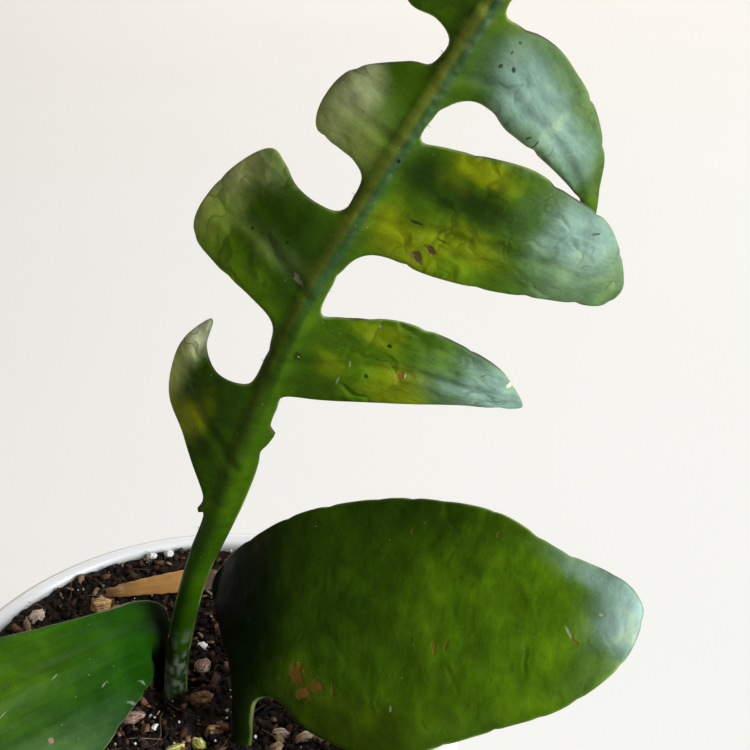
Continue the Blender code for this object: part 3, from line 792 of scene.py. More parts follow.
# A lobe is its outline, as places along and across the midrib, and its bend: the fold at its
# root, the curl towards its tip, the reach at which the curl is full, and the sweep upwards.
RIGHT_LOBES = [
    (((82, 4.4), (88, 4.2), (92.5, 4.9), (95, 3.6), (99, 3.6)), (0, 0, 40, 0)),
    (
        ((102, 4), (104, 11), (106.5, 19), (112.5, 37.5), (116.5, 51), (120, 52.5), (128.2, 43.5),
         (130, 30), (128.5, 18.5), (123.5, 8), (122.5, 3.7)),
        (0, -14, 40, 0),
    ),
    (
        ((131.5, 3.2), (136.5, 4.7), (139, 9), (140, 18.5), (143, 33.5), (146.3, 48),
         (149, 60), (155, 61.5), (164.8, 47), (167, 32), (167.5, 22), (163.5, 8), (162, 2.4)),
        (2, -24, 40, 0),
    ),
    (
        ((167.5, 2.4), (172, 5.2), (174.5, 12), (178, 26.5), (180, 41), (180, 54),
         (184.3, 45.8), (190.2, 32.5), (191.8, 18), (188.8, 7.5), (189, 3.2)),
        (-6, -30, 40, 22),
    ),
    (
        ((194.5, 3.4), (199, 5.5), (202, 12), (204, 23), (208, 32), (213, 32), (217, 23),
         (217, 12), (214, 4.5)),
        (-5, -26, 36, 12),
    ),
    (
        ((218, 3.6), (222, 8), (225, 15), (230, 19), (235, 14), (237, 7)),
        (-5, -24, 30, 6),
    ),
]  # fmt: skip
LEFT_LOBES = [
    (
        ((70, -3.2), (71, -4.6), (75, -4.9), (84.5, -12.5), (91, -21), (101, -22.5), (110.5, -16.6),
         (104.8, -15.4), (101.5, -11), (101.5, -5.5), (103.5, -3)),
        (-20, -45, 30, 0),
    ),
    (
        ((112, -2.8), (116.5, -4.5), (119, -10.5), (120.5, -19.5), (122.5, -27), (127, -29),
         (136, -27), (144, -22.5), (145, -18.5), (142, -13), (141.5, -7), (143, -3.2)),
        (-10, -40, 35, 0),
    ),
    (
        ((149.5, -3), (152, -6), (152.5, -9.5), (153, -15.5), (158.5, -17.5), (166, -15.5),
         (173, -7.5), (175, -3.4)),
        (-15, -35, 35, 0),
    ),
    (
        ((180, -3.2), (182, -7), (181.5, -12), (184, -17.5), (190, -21), (197, -20),
         (201, -14), (202, -8), (204, -3.6)),
        (-10, -25, 35, 0),
    ),
    (
        ((209, -3.4), (212, -8), (214, -15), (219, -19), (226, -16), (228, -9), (229, -4)),
        (-10, -25, 30, 0),
    ),
    (((233, -3.4), (236, -6.5), (240, -6.5), (243, -3)), (-6, -20, 30, 0)),
]  # fmt: skip
STALK_RIGHT = [(0, 2.2), (24, 2.6), (43.5, 2.6), (56, 2.7), (66, 3.2), (75, 4.1)]
STALK_LEFT = [(62, -3.1), (54, -2.7), (43.5, -2.7), (24, -2.6), (0, -2.2), (-1.5, 0)]
LOBED_TIP = [(241, 4), (244, 0.5)]
LOBED_RIB = [(0, 0), (120, 0), (240, 0)]

# Skin colours, as painted on: deep green painted shade in the hollows, and a blue-grey painted
# sheen, a reflection of the window, where the skin faces the light.
# Near-black painted shade, for stalks and blade parts in deep shade.
BLACK_SHADE = (0.0006, 0.0016, 0.0002)
SHADE = (0.0025, 0.0070, 0.0004)
# Deep green painted shade, for hollows, creases and the roots of lobes.
DEEP_SHADE = (0.007, 0.019, 0.0003)
GREEN = (0.030, 0.070, 0.0005)
FRESH = (0.060, 0.125, 0.001)
YELLOW = (0.150, 0.180, 0.001)
OLIVE = (0.026, 0.040, 0.002)
OLIVE_LIT = (0.145, 0.178, 0.022)
# Grey-olive painted sheen, for the left lobes that curl back from the light.
GREY_OLIVE_SHEEN = (0.215, 0.255, 0.085)
RIB_DARK = (0.012, 0.030, 0.001)
RIB_BLUE = (0.020, 0.054, 0.014)
RIB_SHEEN = (0.095, 0.135, 0.070)
PAINTED_SHEEN = (0.175, 0.270, 0.215)
CORK = (0.200, 0.240, 0.180)
SCAR_BROWN = (0.060, 0.030, 0.018)
SCAR_RUST = (0.150, 0.055, 0.008)
SCAR_PALE = (0.300, 0.320, 0.180)
BLACK = (0.004, 0.005, 0.003)
MOTTLE_SIZE = 6.5
PORE_SIZE = 0.55
BLISTER_SIZE = 9.0
BLISTER_REACH = (5, 12)  # from the midrib: none nearer than the first, all past the second
WAX_ROUGHNESS = 0.3
BRUSH_WARP = 1.6  # how far the edge of a stroke wanders
BRUSH_EDGE = 1.5  # 1 is a soft edge, and more is a crisper one


def smooth_curve(control, steps):
    """A Catmull-Rom curve through the control points, with both ends kept."""
    given = np.asarray(control, float)
    points = np.vstack([2 * given[0] - given[1], given, 2 * given[-1] - given[-2]])
    made = []
    for a, b, c, d in zip(points, points[1:], points[2:], points[3:]):
        for step in range(steps):
            t = step / steps
            cubic = 2 * b + (c - a) * t + (2 * a - 5 * b + 4 * c - d) * t * t
            made.append((cubic + (3 * b - a - 3 * c + d) * t**3) / 2)
    made.append(given[-1])
    return np.array(made)


def evenly(line, spacing):
    """The same line with points about spacing apart."""
    gone = np.concatenate([[0], np.cumsum(np.linalg.norm(np.diff(line, axis=0), axis=1))])
    stops = np.linspace(0, gone[-1], int(gone[-1] / spacing) + 1)
    return np.stack([np.interp(stops, gone, line[:, axis]) for axis in (0, 1)], 1)


def closed_curve(control, spacing):
    """A smooth closed outline with points about spacing apart."""
    given = np.asarray(control, float)
    wrapped = np.vstack([given[-2:], given, given[:3]])
    return evenly(smooth_curve(wrapped, 12)[24:-24], spacing)[:-1]


def unit(vectors):
    """The vectors at length one."""
    return vectors / np.linalg.norm(vectors, axis=-1, keepdims=True)


def ease(x):
    """0 below 0 and 1 above 1, with a soft start and end."""
    x = np.clip(x, 0, 1)
    return x * x * (3 - 2 * x)


def inside(points, polygon):
    """Which of the points lie inside the polygon."""
    found = np.zeros(len(points), bool)
    for (ax, ay), (bx, by) in zip(polygon, np.roll(polygon, -1, axis=0)):
        crosses = (ay > points[:, 1]) != (by > points[:, 1])
        level = 1e-9 if by == ay else by - ay
        found ^= crosses & (points[:, 0] < (bx - ax) * (points[:, 1] - ay) / level + ax)
    return found


def distance_along(line, points):
    """Each point's distance to the open line."""
    nearest = np.full(len(points), np.inf)
    for start, stop in zip(line[:-1], line[1:]):
        along = stop - start
        offset = points - start
        share = np.clip(offset @ along / max(along @ along, 1e-12), 0, 1)
        nearest = np.minimum(nearest, ((offset - share[:, None] * along) ** 2).sum(1))
    return np.sqrt(nearest)


def distance_to(outline, points):
    """Each point's distance to the closed outline."""
    return distance_along(np.vstack([outline, outline[:1]]), points)


def waver(flat, long, wide, seed, octaves=2):
    """Smooth chance from about -1 to 1, with features of that length and width."""
    rise = [noise.fractal(Vector((s / long, w / wide, seed)), 0.8, 2.0, octaves) for s, w in flat]
    return np.array(rise)


class Midrib:
    """A curve in space with a facing direction, which carries points of a flat sheet."""

    def __init__(self, path, facing):
        self.path = smooth_curve(path, 24)
        steps = np.linalg.norm(np.diff(self.path, axis=0), axis=1)
        self.length = np.concatenate([[0], np.cumsum(steps)])
        self.along = unit(np.gradient(self.path, self.length, axis=0))
        front = smooth_curve(facing, 24)
        front = front - (front * self.along).sum(1, keepdims=True) * self.along
        self.front = unit(front)
        self.side = np.cross(self.along, self.front)

    def pick(self, values, s):
        return np.stack([np.interp(s, self.length, values[:, axis]) for axis in range(3)], -1)

    def frame_at(self, s):
        """The place, side and front at each length s. The curve runs straight on past its ends."""
        beyond = (s - np.clip(s, 0, self.length[-1]))[:, None]
        place = self.pick(self.path, s) + beyond * self.pick(self.along, s)
        return place, unit(self.pick(self.side, s)), unit(self.pick(self.front, s))


def bend_out(rib, s, w, fold, curl, reach, sweep=0.0, middle=0.0):
    """Carries flat points (s along, w across) onto a rib. A lobe turns by fold degrees
    just past its root, by curl more at its reach, and by sweep within its own plane."""
    out = np.maximum(np.abs(w) - ROOT, 0)
    turn = np.radians(sweep) * ease(out / 14)
    off = s - middle
    s_swept = np.where(out > 0, middle + off * np.cos(turn) - out * np.sin(turn), s)
    w_swept = np.where(out > 0, ROOT + out * np.cos(turn) + off * np.sin(turn), np.abs(w))
    shares = (np.arange(24) + 0.5) / 24
    gone = w_swept[:, None] * shares
    past = gone - ROOT
    angle = fold[:, None] * ease(past / 8)
    angle = angle + curl[:, None] * np.clip(past / (reach[:, None] - ROOT), 0, 2)
    angle = np.radians(np.where(past > 0, angle, 0))
    across = w_swept * np.cos(angle).mean(1) * np.sign(w)
    depth = w_swept * np.sin(angle).mean(1)
    centre, side, front = rib.frame_at(s_swept)
    return centre + across[:, None] * side + depth[:, None] * front


def inward_of(outline):
    """The direction into the sheet at each point of its outline."""
    ahead = np.roll(outline, -1, axis=0) - np.roll(outline, 1, axis=0)
    inward = unit(np.stack([-ahead[:, 1], ahead[:, 0]], 1))
    return inward if inside(outline + 0.05 * inward, outline).mean() > 0.5 else -inward


def nibbled(outline, nicks):
    """The outline with small notches, or with teeth where the depth is below zero."""
    inward = inward_of(outline)
    for s, w, depth, width in nicks:
        away = np.linalg.norm(outline - (s, w), axis=1)
        outline = outline + (depth * np.exp(-((away / width) ** 2)))[:, None] * inward
    return outline


def crenate(outline, first, last, step, depth, seed):
    """Notches about step apart along the outline, from first to last as shares of it."""
    chance = np.random.default_rng(seed)
    spacing = np.linalg.norm(outline[1] - outline[0])
    place = first * len(outline)
    nicks = []
    while place < last * len(outline):
        s, w = outline[int(place)]
        nicks.append((s, w, depth * chance.uniform(0.5, 1.2), chance.uniform(0.8, 1.5)))
        place += step * chance.uniform(0.7, 1.3) / spacing
    return nicks


def blend(first, second, share):
    """A colour for each point, from the first to the second."""
    return np.array(first) + share[:, None] * (np.array(second) - np.array(first))


def airbrush(flat, base, strokes):
    """Soft strokes of colour laid over a base, one after another."""
    painted = np.tile(np.array(base, float), (len(flat), 1))
    warp = np.stack([waver(flat, 7, 7, 51.0, 3), waver(flat, 7, 7, 53.0, 3)], 1)
    flat = flat + BRUSH_WARP * warp
    for s, w, long, wide, turn, colour, strength in strokes:
        cos, sin = math.cos(math.radians(turn)), math.sin(math.radians(turn))
        off_s, off_w = flat[:, 0] - s, flat[:, 1] - w
        along, across = off_s * cos + off_w * sin, off_w * cos - off_s * sin
        share = strength * np.exp(-(((along / long) ** 2 + (across / wide) ** 2) ** BRUSH_EDGE))
        painted += share[:, None] * (np.array(colour) - painted)
    return painted


def filled(outline, spacing):
    """The outline filled with a fine even mesh: its flat points and its triangles."""
    inward = inward_of(outline)
    rows = [outline]
    for inset in EDGE_ROWS:
        row = outline + inset * inward
        row = row[inside(row, outline)]
        rows.append(row[distance_to(outline, row) > 0.85 * inset])
    low, high = outline.min(0), outline.max(0)
    grid = []
    for row in range(math.floor(low[1] / spacing), math.ceil(high[1] / spacing) + 1):
        shift = spacing * (0.5 if row % 2 else 0.0)
        across = np.arange(low[0] + shift, high[0], spacing * 1.15)
        grid.append(np.stack([across, np.full(len(across), row * spacing)], 1))
    grid = np.vstack(grid)
    grid = grid[inside(grid, outline)]
    grid = grid[distance_to(outline, grid) > EDGE_ROUND + 0.45 * spacing]
    given = [Vector(point) for point in np.vstack([*rows, grid])]
    border = [tuple(range(len(outline)))]
    points, _, triangles, *_ = delaunay_2d_cdt(given, [], border, 1, 1e-6)
    return np.array([tuple(point) for point in points]), triangles


def skin_body(name, outline, rib_line, carry, half, rib, relief, paint, material, facing=1,
              spacing=SKIN_SPACING):  # fmt: skip
    """A closed fleshy sheet. Its outline is filled with a fine mesh, and both faces are
    carried into place, raised by the relief, and moved apart by half the thickness, with rib
    more along the rib line. Facing is -1 where the carried sheet's front is its other side."""
    rib_line = evenly(smooth_curve(rib_line, 12), spacing)
    flat, triangles = filled(outline, spacing)
    edge = distance_to(outline, flat)
    rim = edge < 1e-3
    ridge = distance_along(rib_line, flat)
    crest = 0.45 * np.exp(-((ridge / RIB_WIDTH) ** 2)) + 0.55 * np.exp(-((ridge / CREST_WIDTH) ** 4))
    thick = half * (EDGE_THICKNESS + (1 - EDGE_THICKNESS) * ease(edge / TAPER)) + rib * crest
    thick *= np.sqrt(1 - (1 - np.clip(edge / EDGE_ROUND, 0, 1)) ** 2)
    thick[rim] = 0
    along = carry(flat + [0.05, 0]) - carry(flat - [0.05, 0])
    across = carry(flat + [0, 0.05]) - carry(flat - [0, 0.05])
    normal = facing * unit(np.cross(along, across))
    middle = carry(flat) + relief(flat, edge)[:, None] * normal
    front = middle + thick[:, None] * normal
    back_of = np.where(rim, np.arange(len(flat)), len(flat) + np.cumsum(~rim) - 1)
    back = (middle - thick[:, None] * normal)[~rim]
    faces = [tuple(face) for face in triangles]
    faces += [tuple(int(back_of[corner]) for corner in reversed(face)) for face in triangles]
    side = np.where(rim, 0.0, 1.0)
    sheet = np.column_stack([flat, side])
    under = np.column_stack([flat, -side])[~rim]
    tint = paint(flat)
    form = np.column_stack([edge, ridge, np.abs(flat[:, 1])])
    marks = {
        "sheet": np.vstack([sheet, under]),
        "form": np.vstack([form, form[~rim]]),
        "tint": np.vstack([tint, tint[~rim]]),
    }
    return add_body(name, np.vstack([front, back]), faces, material, marks)


def specked(finish, sheet, colour):
    """The colour with pale and dark specks and short scratches on it."""
    chance = finish.grain(sheet, 17, 2)
    pale = finish.cells(finish.stretch(sheet, (1.0, 0.6, 1)), 2.9).rise(0.06, 0.02)
    colour = finish.mix(pale * chance.rise(0.4, 0.55), colour, SCAR_PALE)
    dark = finish.cells(finish.vector("ADD", sheet, (9.1, 4.7, 0.3)), 7.5).rise(0.045, 0.03)
    colour = finish.mix(dark * chance.rise(0.55, 0.45) * 0.8, colour, BLACK)
    scratch = finish.cells(finish.stretch(sheet, (0.35, 2.2, 1), (3, 1, 0)), 6.0).rise(0.028, 0.012)
    return finish.mix(scratch * chance.rise(0.5, 0.62) * 0.8, colour, SCAR_PALE)


def scarred(finish, sheet, colour, scars):
    """The colour with the scars on it, and how far each place is sunk. They are only on the
    side of the sheet that is 1, its front."""
    ragged = finish.grain(sheet, 1.3, 4)
    sunk = 0
    for s, w, long, wide, turn, scar, strength in scars:
        values = {0: sheet, "Location": (s, w, 1.0), "Rotation": (0, 0, math.radians(turn))}
        values["Scale"] = (long / 2, wide / 2, 1.0)
        local = finish.node("ShaderNodeMapping", {"vector_type": "TEXTURE"}, values)
        away = finish.node("ShaderNodeVectorMath", {"operation": "LENGTH"}, {0: local}, 1)
        spot = (away + ragged * 1.9).rise(2.0, 1.5) * strength
        colour = finish.mix(spot, colour, scar)
        sunk = spot.most(sunk)
    return colour, sunk


def skin_finish(name, margin, stripe, wrinkle, blister, gloss, shine, scars):
    """Waxy green skin: mottling, cell grain, blisters, a thin edge line, specks and scars.
    Stripe is the length and width of its streaks. Wrinkle and blister are heights, gloss is
    the roughness, and shine is the specular level."""
    finish = Finish(name)
    sheet = finish.read("sheet", 1)
    edge, _, reach = finish.parts(finish.read("form", 1))
    tint = finish.read("tint", 1)
    cloud = finish.grain(sheet, MOTTLE_SIZE, 5, 0.4)
    streak = finish.grain(finish.stretch(sheet, (*stripe, 2)), 1, 3)
    pore = finish.cells(sheet, PORE_SIZE)
    colour = finish.vector("SCALE", tint, (cloud * 0.9 + streak * 0.65 + pore * 0.16 + 0.10) * 1.1)
    fresh = finish.vector("MULTIPLY", tint, (1.9, 1.5, 1.0))
    colour = finish.mix(cloud.rise(0.50, 0.74) * 0.45, colour, fresh)
    drift = finish.node("ShaderNodeTexNoise", None, {0: sheet, "Scale": 0.16, "Detail": 1.0}, 1)
    bent = finish.vector("ADD", sheet, finish.vector("SCALE", drift, 11.0))
    bubble = finish.cells(finish.stretch(bent, (1.0, 1.25, 40)), BLISTER_SIZE, "DISTANCE_TO_EDGE")
    broken = finish.grain(sheet, 12, 2).rise(0.42, 0.6) * reach.rise(*BLISTER_REACH)
    dome = bubble.rise(0.0, 0.22) * broken
    crease = bubble.rise(0.035, 0.0) * broken
    # Painted shade: the creases between the blisters are darkened to deep green.
    colour = finish.mix(crease * blister * 0.3, colour, DEEP_SHADE)
    line = (edge + finish.grain(sheet, 3, 2) * 0.5).rise(0.75, 0.25)
    patchy = finish.mix(finish.grain(sheet, 14, 2).rise(0.42, 0.58), margin[0], margin[1])
    colour = finish.mix(line * 0.7, colour, patchy)
    colour, sunk = scarred(finish, sheet, specked(finish, sheet, colour), scars)
    fold = finish.grain(finish.stretch(sheet, (3.2, 7.5, 3)), 1, 2, 0.35)
    height = fold * wrinkle * reach.rise(8, 26) + dome * blister * 0.45
    height = height + finish.grain(sheet, 1.3, 3) * 0.07 + pore * 0.02 + streak * 0.10 - sunk * 0.25
    rough = cloud * 0.16 + fold * 0.1 + gloss + sunk * 0.3
    wax = {"Specular IOR Level": shine, "Coat Weight": shine / 3, "Coat Roughness": WAX_ROUGHNESS}
    return finish.end(colour, rough, {"Normal": finish.bump(height, 1.0, 0.7), **wax})


LOBES = RIGHT_LOBES + LEFT_LOBES


def lobe_of(flat):
    """The number of the lobe that each flat point belongs to."""
    nearest = np.full(len(flat), np.inf)
    number = np.zeros(len(flat), int)
    for index, (shape, _) in enumerate(LOBES):
        polygon = np.array(shape, float)
        away = distance_to(polygon, flat)
        away[inside(flat, polygon)] = 0
        away[flat[:, 1] * polygon[len(shape) // 2, 1] <= 0] = np.inf
        closer = away < nearest
        nearest[closer] = away[closer]
        number[closer] = index
    return np.where(np.isfinite(nearest), number, -1)


def lobed_outline():
    """Up the right side lobe by lobe, over the tip, and down the left side."""
    control = list(STALK_RIGHT)
    for shape, _ in RIGHT_LOBES:
        control += shape
    control += LOBED_TIP
    for shape, _ in reversed(LEFT_LOBES):
        control += reversed(shape)
    return closed_curve(control + STALK_LEFT, SKIN_SPACING)


def carry_lobed(flat):
    """Carries flat points of the lobed stem, each with its own lobe's bend."""
    number = lobe_of(flat)
    bends = np.zeros((len(flat), 5))
    bends[:, 2] = 40
    for index, (shape, bend) in enumerate(LOBES):
        bends[number == index] = (*bend, (shape[0][0] + shape[-1][0]) / 2)
    rib = Midrib(LOBED_PATH, LOBED_FACING)
    s, w = flat[:, 0], flat[:, 1]
    return bend_out(rib, s, w, *bends.T[:3], sweep=bends[:, 3], middle=bends[:, 4])


def vein_lines():
    """A vein from the midrib to the tip of each lobe."""
    lines = []
    for shape, _ in LOBES:
        polygon = np.array(shape, float)
        root = (polygon[0] + polygon[-1]) / 2
        tip = polygon[np.abs(polygon[:, 1]).argmax()]
        centre = polygon.mean(0)
        if abs(tip[1]) > 10:
            control = [(root[0] - 3, 0), centre, 0.85 * tip + 0.15 * centre]
            lines.append(evenly(smooth_curve(control, 8), 2))
    return lines


def lobed_relief(flat, edge):
    """Puckers between the veins, creases along them, and a wavy margin."""
    reach = np.abs(flat[:, 1])
    rise = 0.9 * waver(flat, 13, 17, 1.5) * ease((reach - 3) / 14)
    rise += 0.28 * waver(flat, 4.2, 7, 3.1) * ease((reach - 10) / 14)
    rise += 0.5 * waver(flat, 9, 9, 7.7) * np.exp(-edge / 2.5) * ease((reach - 4) / 6)
    for line in vein_lines():
        away = distance_along(line, flat)
        fade = ease((np.abs(line[-1, 1]) - reach) / 12)
        swell = 0.35 * np.exp(-(((away - 1.8) / 1.6) ** 2))
        rise += fade * (swell - 0.4 * np.exp(-((away / 0.9) ** 2)))
    return rise * ease((edge + 0.6) / 2)


# A stroke or a scar is its place along and across, its length, width and turn, its colour,
# and how much of the colour it lays on.
LOBED_STROKES = [
    # stalk and the first left lobe: painted shade on the stalk and the lobe's root, and a painted
    #  sheen and a near-white painted highlight on its outer edge and tip
    (40, 0, 34, 9, 0, (0.014, 0.045, 0.0004), 0.95), (26, -2, 5, 1.2, 0, CORK, 0.6),
    (88, -8, 12, 8, 0, DEEP_SHADE, 0.75), (98, -8, 9, 6, 0, DEEP_SHADE, 0.8),
    (95, -21, 16, 4, 0, (0.30, 0.36, 0.09), 0.9), (86, -15, 10, 3.5, 30, (0.170, 0.210, 0.002), 0.8),
    (90, -18, 4, 2, 40, YELLOW, 0.6), (92, -14, 3, 1.2, 30, YELLOW, 0.4),
    (108, -18, 7, 3, 0, (0.60, 0.66, 0.42), 0.9),
    # second left lobe: painted shade at its root and a grey-olive painted sheen on its outer part
    (136, -10, 9, 8, 0, DEEP_SHADE, 0.65), (130, -5, 8, 5, 0, DEEP_SHADE, 0.8),
    (135, -26, 14, 5, 0, (0.310, 0.335, 0.130), 0.9), (130, -15, 2.4, 12, 8, GREY_OLIVE_SHEEN, 0.15),
    (120, -19, 5, 10, 0, (0.085, 0.170, 0.001), 0.9), (127, -24, 8, 4.5, 0, (0.135, 0.215, 0.010), 0.75),
    (142, -20, 4, 5, 0, GREY_OLIVE_SHEEN, 0.5),
    # third and fourth left lobes: grey-olive painted sheen, painted light and painted shade
    (157, -14, 11, 9, 0, GREY_OLIVE_SHEEN, 0.9), (165, -13, 6, 4, 0, (0.34, 0.37, 0.18), 0.7),
    (170, -6, 5, 3, 0, GREEN, 0.8), (156, -6, 5, 4, 0, OLIVE_LIT, 0.5),
    (184, -10, 9, 9, 0, GREEN, 0.55), (190, -14, 7, 7, 0, DEEP_SHADE, 0.5), (186, -3, 8, 3, 0, DEEP_SHADE, 0.5),
    # first long right lobe: painted shade at its root, yellow patches, and a blue-grey painted sheen at
    # its tip
    (112, 9, 9, 7, 0, DEEP_SHADE, 0.6), (118, 14, 8, 10, 0, (0.048, 0.100, 0.001), 0.6),
    (113, 17, 9, 9, 0, FRESH, 0.35), (123, 14, 2.5, 4, 0, YELLOW, 0.5), (124, 19, 3, 3, 0, YELLOW, 0.5),
    (113, 10, 2, 3, 0, YELLOW, 0.45), (115, 25, 5, 6, 0, YELLOW, 0.6), (110, 25, 2.4, 8, 0, YELLOW, 0.6),
    (121, 45, 9, 13, 0, PAINTED_SHEEN, 0.9), (124, 31, 5, 5, 0, FRESH, 0.5),
    # second long right lobe: a blue-grey painted sheen on its outer part, yellow patches, and a band of
    #  painted shade near its root
    (161, 43.5, 9, 12, 0, (0.200, 0.305, 0.245), 0.88), (150, 45, 6, 9, 0, (0.110, 0.180, 0.090), 0.7),
    (156, 57, 8, 6, 0, (0.115, 0.190, 0.085), 0.75), (163, 13, 2.6, 5, 0, YELLOW, 0.75),
    (163, 18, 2.5, 5, 0, YELLOW, 0.6), (158, 12, 1.6, 4, 0, YELLOW, 0.5), (143, 12, 5, 8, 0, YELLOW, 0.85),
    (147, 22, 6, 8, 0, YELLOW, 0.7), (143, 24, 4, 8, 0, FRESH, 0.7), (146, 5, 4, 3, 0, YELLOW, 0.7),
    (156, 15, 3.5, 12, 0, DEEP_SHADE, 0.8), (158, 5.5, 5, 4, 0, DEEP_SHADE, 0.8), (157, 24, 4, 5, 0, DEEP_SHADE, 0.45),
    (151, 30, 5, 3.5, 0, GREEN, 0.6), (160, 30, 3.5, 3, 0, GREEN, 0.7),
    # third long right lobe, and the young lobes above it: a blue-grey painted sheen over much of them,
    #  and yellow patches
    (181, 15, 7, 9, 0, PAINTED_SHEEN, 0.9), (182.5, 26, 6.5, 12, 0, (0.19, 0.29, 0.23), 0.8),
    (185, 9, 4, 3.5, 0, PAINTED_SHEEN, 0.35), (174, 5, 3, 4, 0, GREEN, 0.9),
    (192, 28, 4, 18, 0, (0.110, 0.180, 0.050), 0.8), (177, 28, 3, 13, 0, (0.090, 0.155, 0.055), 0.8),
    (182, 46, 6, 8, 0, FRESH, 0.6), (206, 18, 12, 12, 0, PAINTED_SHEEN, 0.5), (200, 5, 10, 4, 0, YELLOW, 0.7),
    (205, -4, 12, 4, 0, (0.130, 0.170, 0.012), 0.8), (228, 8, 12, 10, 0, YELLOW, 0.5),
    (224, -9, 14, 8, 0, GREEN, 0.6),
]  # fmt: skip
LOBED_SCARS = [
    (144.7, 15.5, 1.5, 3.4, 12, SCAR_BROWN, 0.95), (142.2, 14.0, 2.0, 3.2, 20, SCAR_BROWN, 0.95),
    (148.2, 9.8, 0.8, 3.8, -8, BLACK, 0.7), (147.4, 16.5, 0.5, 2.6, -5, BLACK, 0.6),
    (162.6, 43.5, 0.6, 2.0, -25, BLACK, 0.6), (157.0, 0.6, 1.1, 1.1, 0, BLACK, 0.8),
    (181.2, 7.0, 1.0, 0.6, 30, BLACK, 0.7), (182.2, 9.0, 1.2, 1.0, 0, BLACK, 0.8),
    (184.2, 7.2, 0.8, 0.5, 0, BLACK, 0.6), (178.2, 20.5, 1.4, 0.6, 15, BLACK, 0.7),
    (178.7, 22.6, 2.0, 0.5, -20, BLACK, 0.7), (174.8, 12.4, 0.8, 0.5, 0, BLACK, 0.6),
    (122.2, 19.0, 1.0, 1.3, 0, BLACK, 0.8), (113.2, 17.5, 1.1, 1.2, 0, BLACK, 0.8),
    (116.4, 24.0, 3.0, 1.6, 10, SCAR_RUST, 0.85), (116.8, 24.8, 1.2, 0.6, 0, SCAR_PALE, 0.8),
    (114.7, 13.5, 2.0, 0.5, -20, SCAR_PALE, 0.4), (110.2, 12.5, 2.6, 0.5, 0, SCAR_PALE, 0.35),
    (125.6, 15.5, 1.4, 0.5, -35, SCAR_PALE, 0.4), (124.8, 47.0, 2.6, 1.7, 10, (0.56, 0.56, 0.42), 0.9),
    (125.6, 48.2, 2.0, 0.8, 20, SCAR_BROWN, 0.8), (125.0, 40.0, 1.8, 0.4, 30, BLACK, 0.5),
    (112.0, 3.0, 2.2, 1.8, 0, BLACK, 0.6), (112.2, 3.4, 0.5, 0.5, 0, SCAR_PALE, 0.9),
    (126.8, -3.5, 1.6, 3.4, 30, (0.15, 0.16, 0.08), 0.6), (88.5, -11.5, 0.5, 2.0, 40, SCAR_PALE, 0.35),
]  # fmt: skip
LOBED_NICKS = [(88.3, 4.2, 0.5, 1.5), (93.6, 4.9, -0.7, 1.0), (70.6, -4.2, -0.9, 0.6)]
LOBED_MARGIN = ((0.050, 0.040, 0.020), (0.20, 0.26, 0.07))
CORK_TOP = 44.0  # the stalk's corky foot ends here


def lobed_paint(flat):
    """The strokes, then the midrib: olive on its left flank, painted lighter up the stem as if lit,
    a blue-green painted sheen on its right, and painted shade and flaky cork on the stalk's foot."""
    colour = airbrush(flat, GREEN, LOBED_STROKES)
    s, w = flat[:, 0], flat[:, 1] + 0.35 * waver(flat, 6, 6, 55.0)
    left = ease((w + 2.6) / 0.7) * ease((-0.2 - w) / 0.6) * ease((s - 60) / 40)
    right = ease((w + 0.5) / 0.6) * ease((1.9 - w) / 0.9) * ease((s - 70) / 50)
    speckled = np.clip(0.3 + 1.1 * waver(flat, 0.9, 0.7, 57.0, 2), 0, 1) * ease((s - 110) / 90)
    # The right flank carries a blue-grey painted sheen where it faces the window; the left flank's olive
    # is painted lighter up the stem as if lit.
    blue = blend(RIB_DARK, RIB_BLUE, ease((s - 116) / 14))
    rib_sheen = blue + speckled[:, None] * (np.array(RIB_SHEEN) - blue)
    olive = blend(OLIVE, OLIVE_LIT, ease((s - 100) / 90))
    colour += (0.8 * left)[:, None] * (olive - colour)
    colour += (0.85 * right)[:, None] * (rib_sheen - colour)
    # Painted shade darkens the stalk's foot towards the mix, and flaky cork lies on the same part.
    shaded_cork_foot = ease((CORK_TOP - s) / 14)
    colour += (0.6 * shaded_cork_foot)[:, None] * (np.array(DEEP_SHADE) - colour)
    flaky = shaded_cork_foot * ease(4 * (waver(flat, 3.5, 0.7, 9.0, 3) - 0.05))
    colour += (0.6 * flaky)[:, None] * (np.array(CORK) - colour)
    return colour


lobed_skin = skin_finish(
    "lobed_stem_skin", LOBED_MARGIN, (1.5, 7), 0.8, 1.4, 0.32, 0.05, LOBED_SCARS
)
lobed_edge = lobed_outline()
lobed_edge = nibbled(lobed_edge, LOBED_NICKS + crenate(lobed_edge, 0.15, 0.85, 15, 0.35, 5))
lobed_stem = skin_body(
    "lobed_stem_skin", lobed_edge, LOBED_RIB, carry_lobed, STEM_HALF, RIB_HALF,
    lobed_relief, lobed_paint, lobed_skin, -1,
)  # fmt: skip
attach(lobed_stem, "root")
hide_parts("lobed_stem")

# Areoles
# In each notch of the lobed stem sits an areole, the small felted pad that a cactus grows
# its bristles from. Each pad here has four short stiff hairs.

AREOLES = [
    (66.5, -3.2), (107.8, -2.8), (146.2, -2.9), (177.5, -3.2), (206.5, -3.4), (231, -3.6),
    (100.5, 3.7), (127, 3.1), (164.8, 2.3), (191.8, 3.2), (216, 3.9),
]  # fmt: skip
SEAT_DEPTH = 0.3
PAD_RADIUS = 0.55
PAD_HEIGHT = 0.6  # of its radius
BRISTLE_HALF = 0.06
BRISTLES = [(0.5, 0.2, 1.7), (-0.5, 0.3, 1.4), (0.1, -0.6, 1.5), (-0.1, 0.1, 2.1)]
FELT_BROWN = (0.055, 0.040, 0.022)
FELT_PALE = (0.30, 0.25, 0.17)


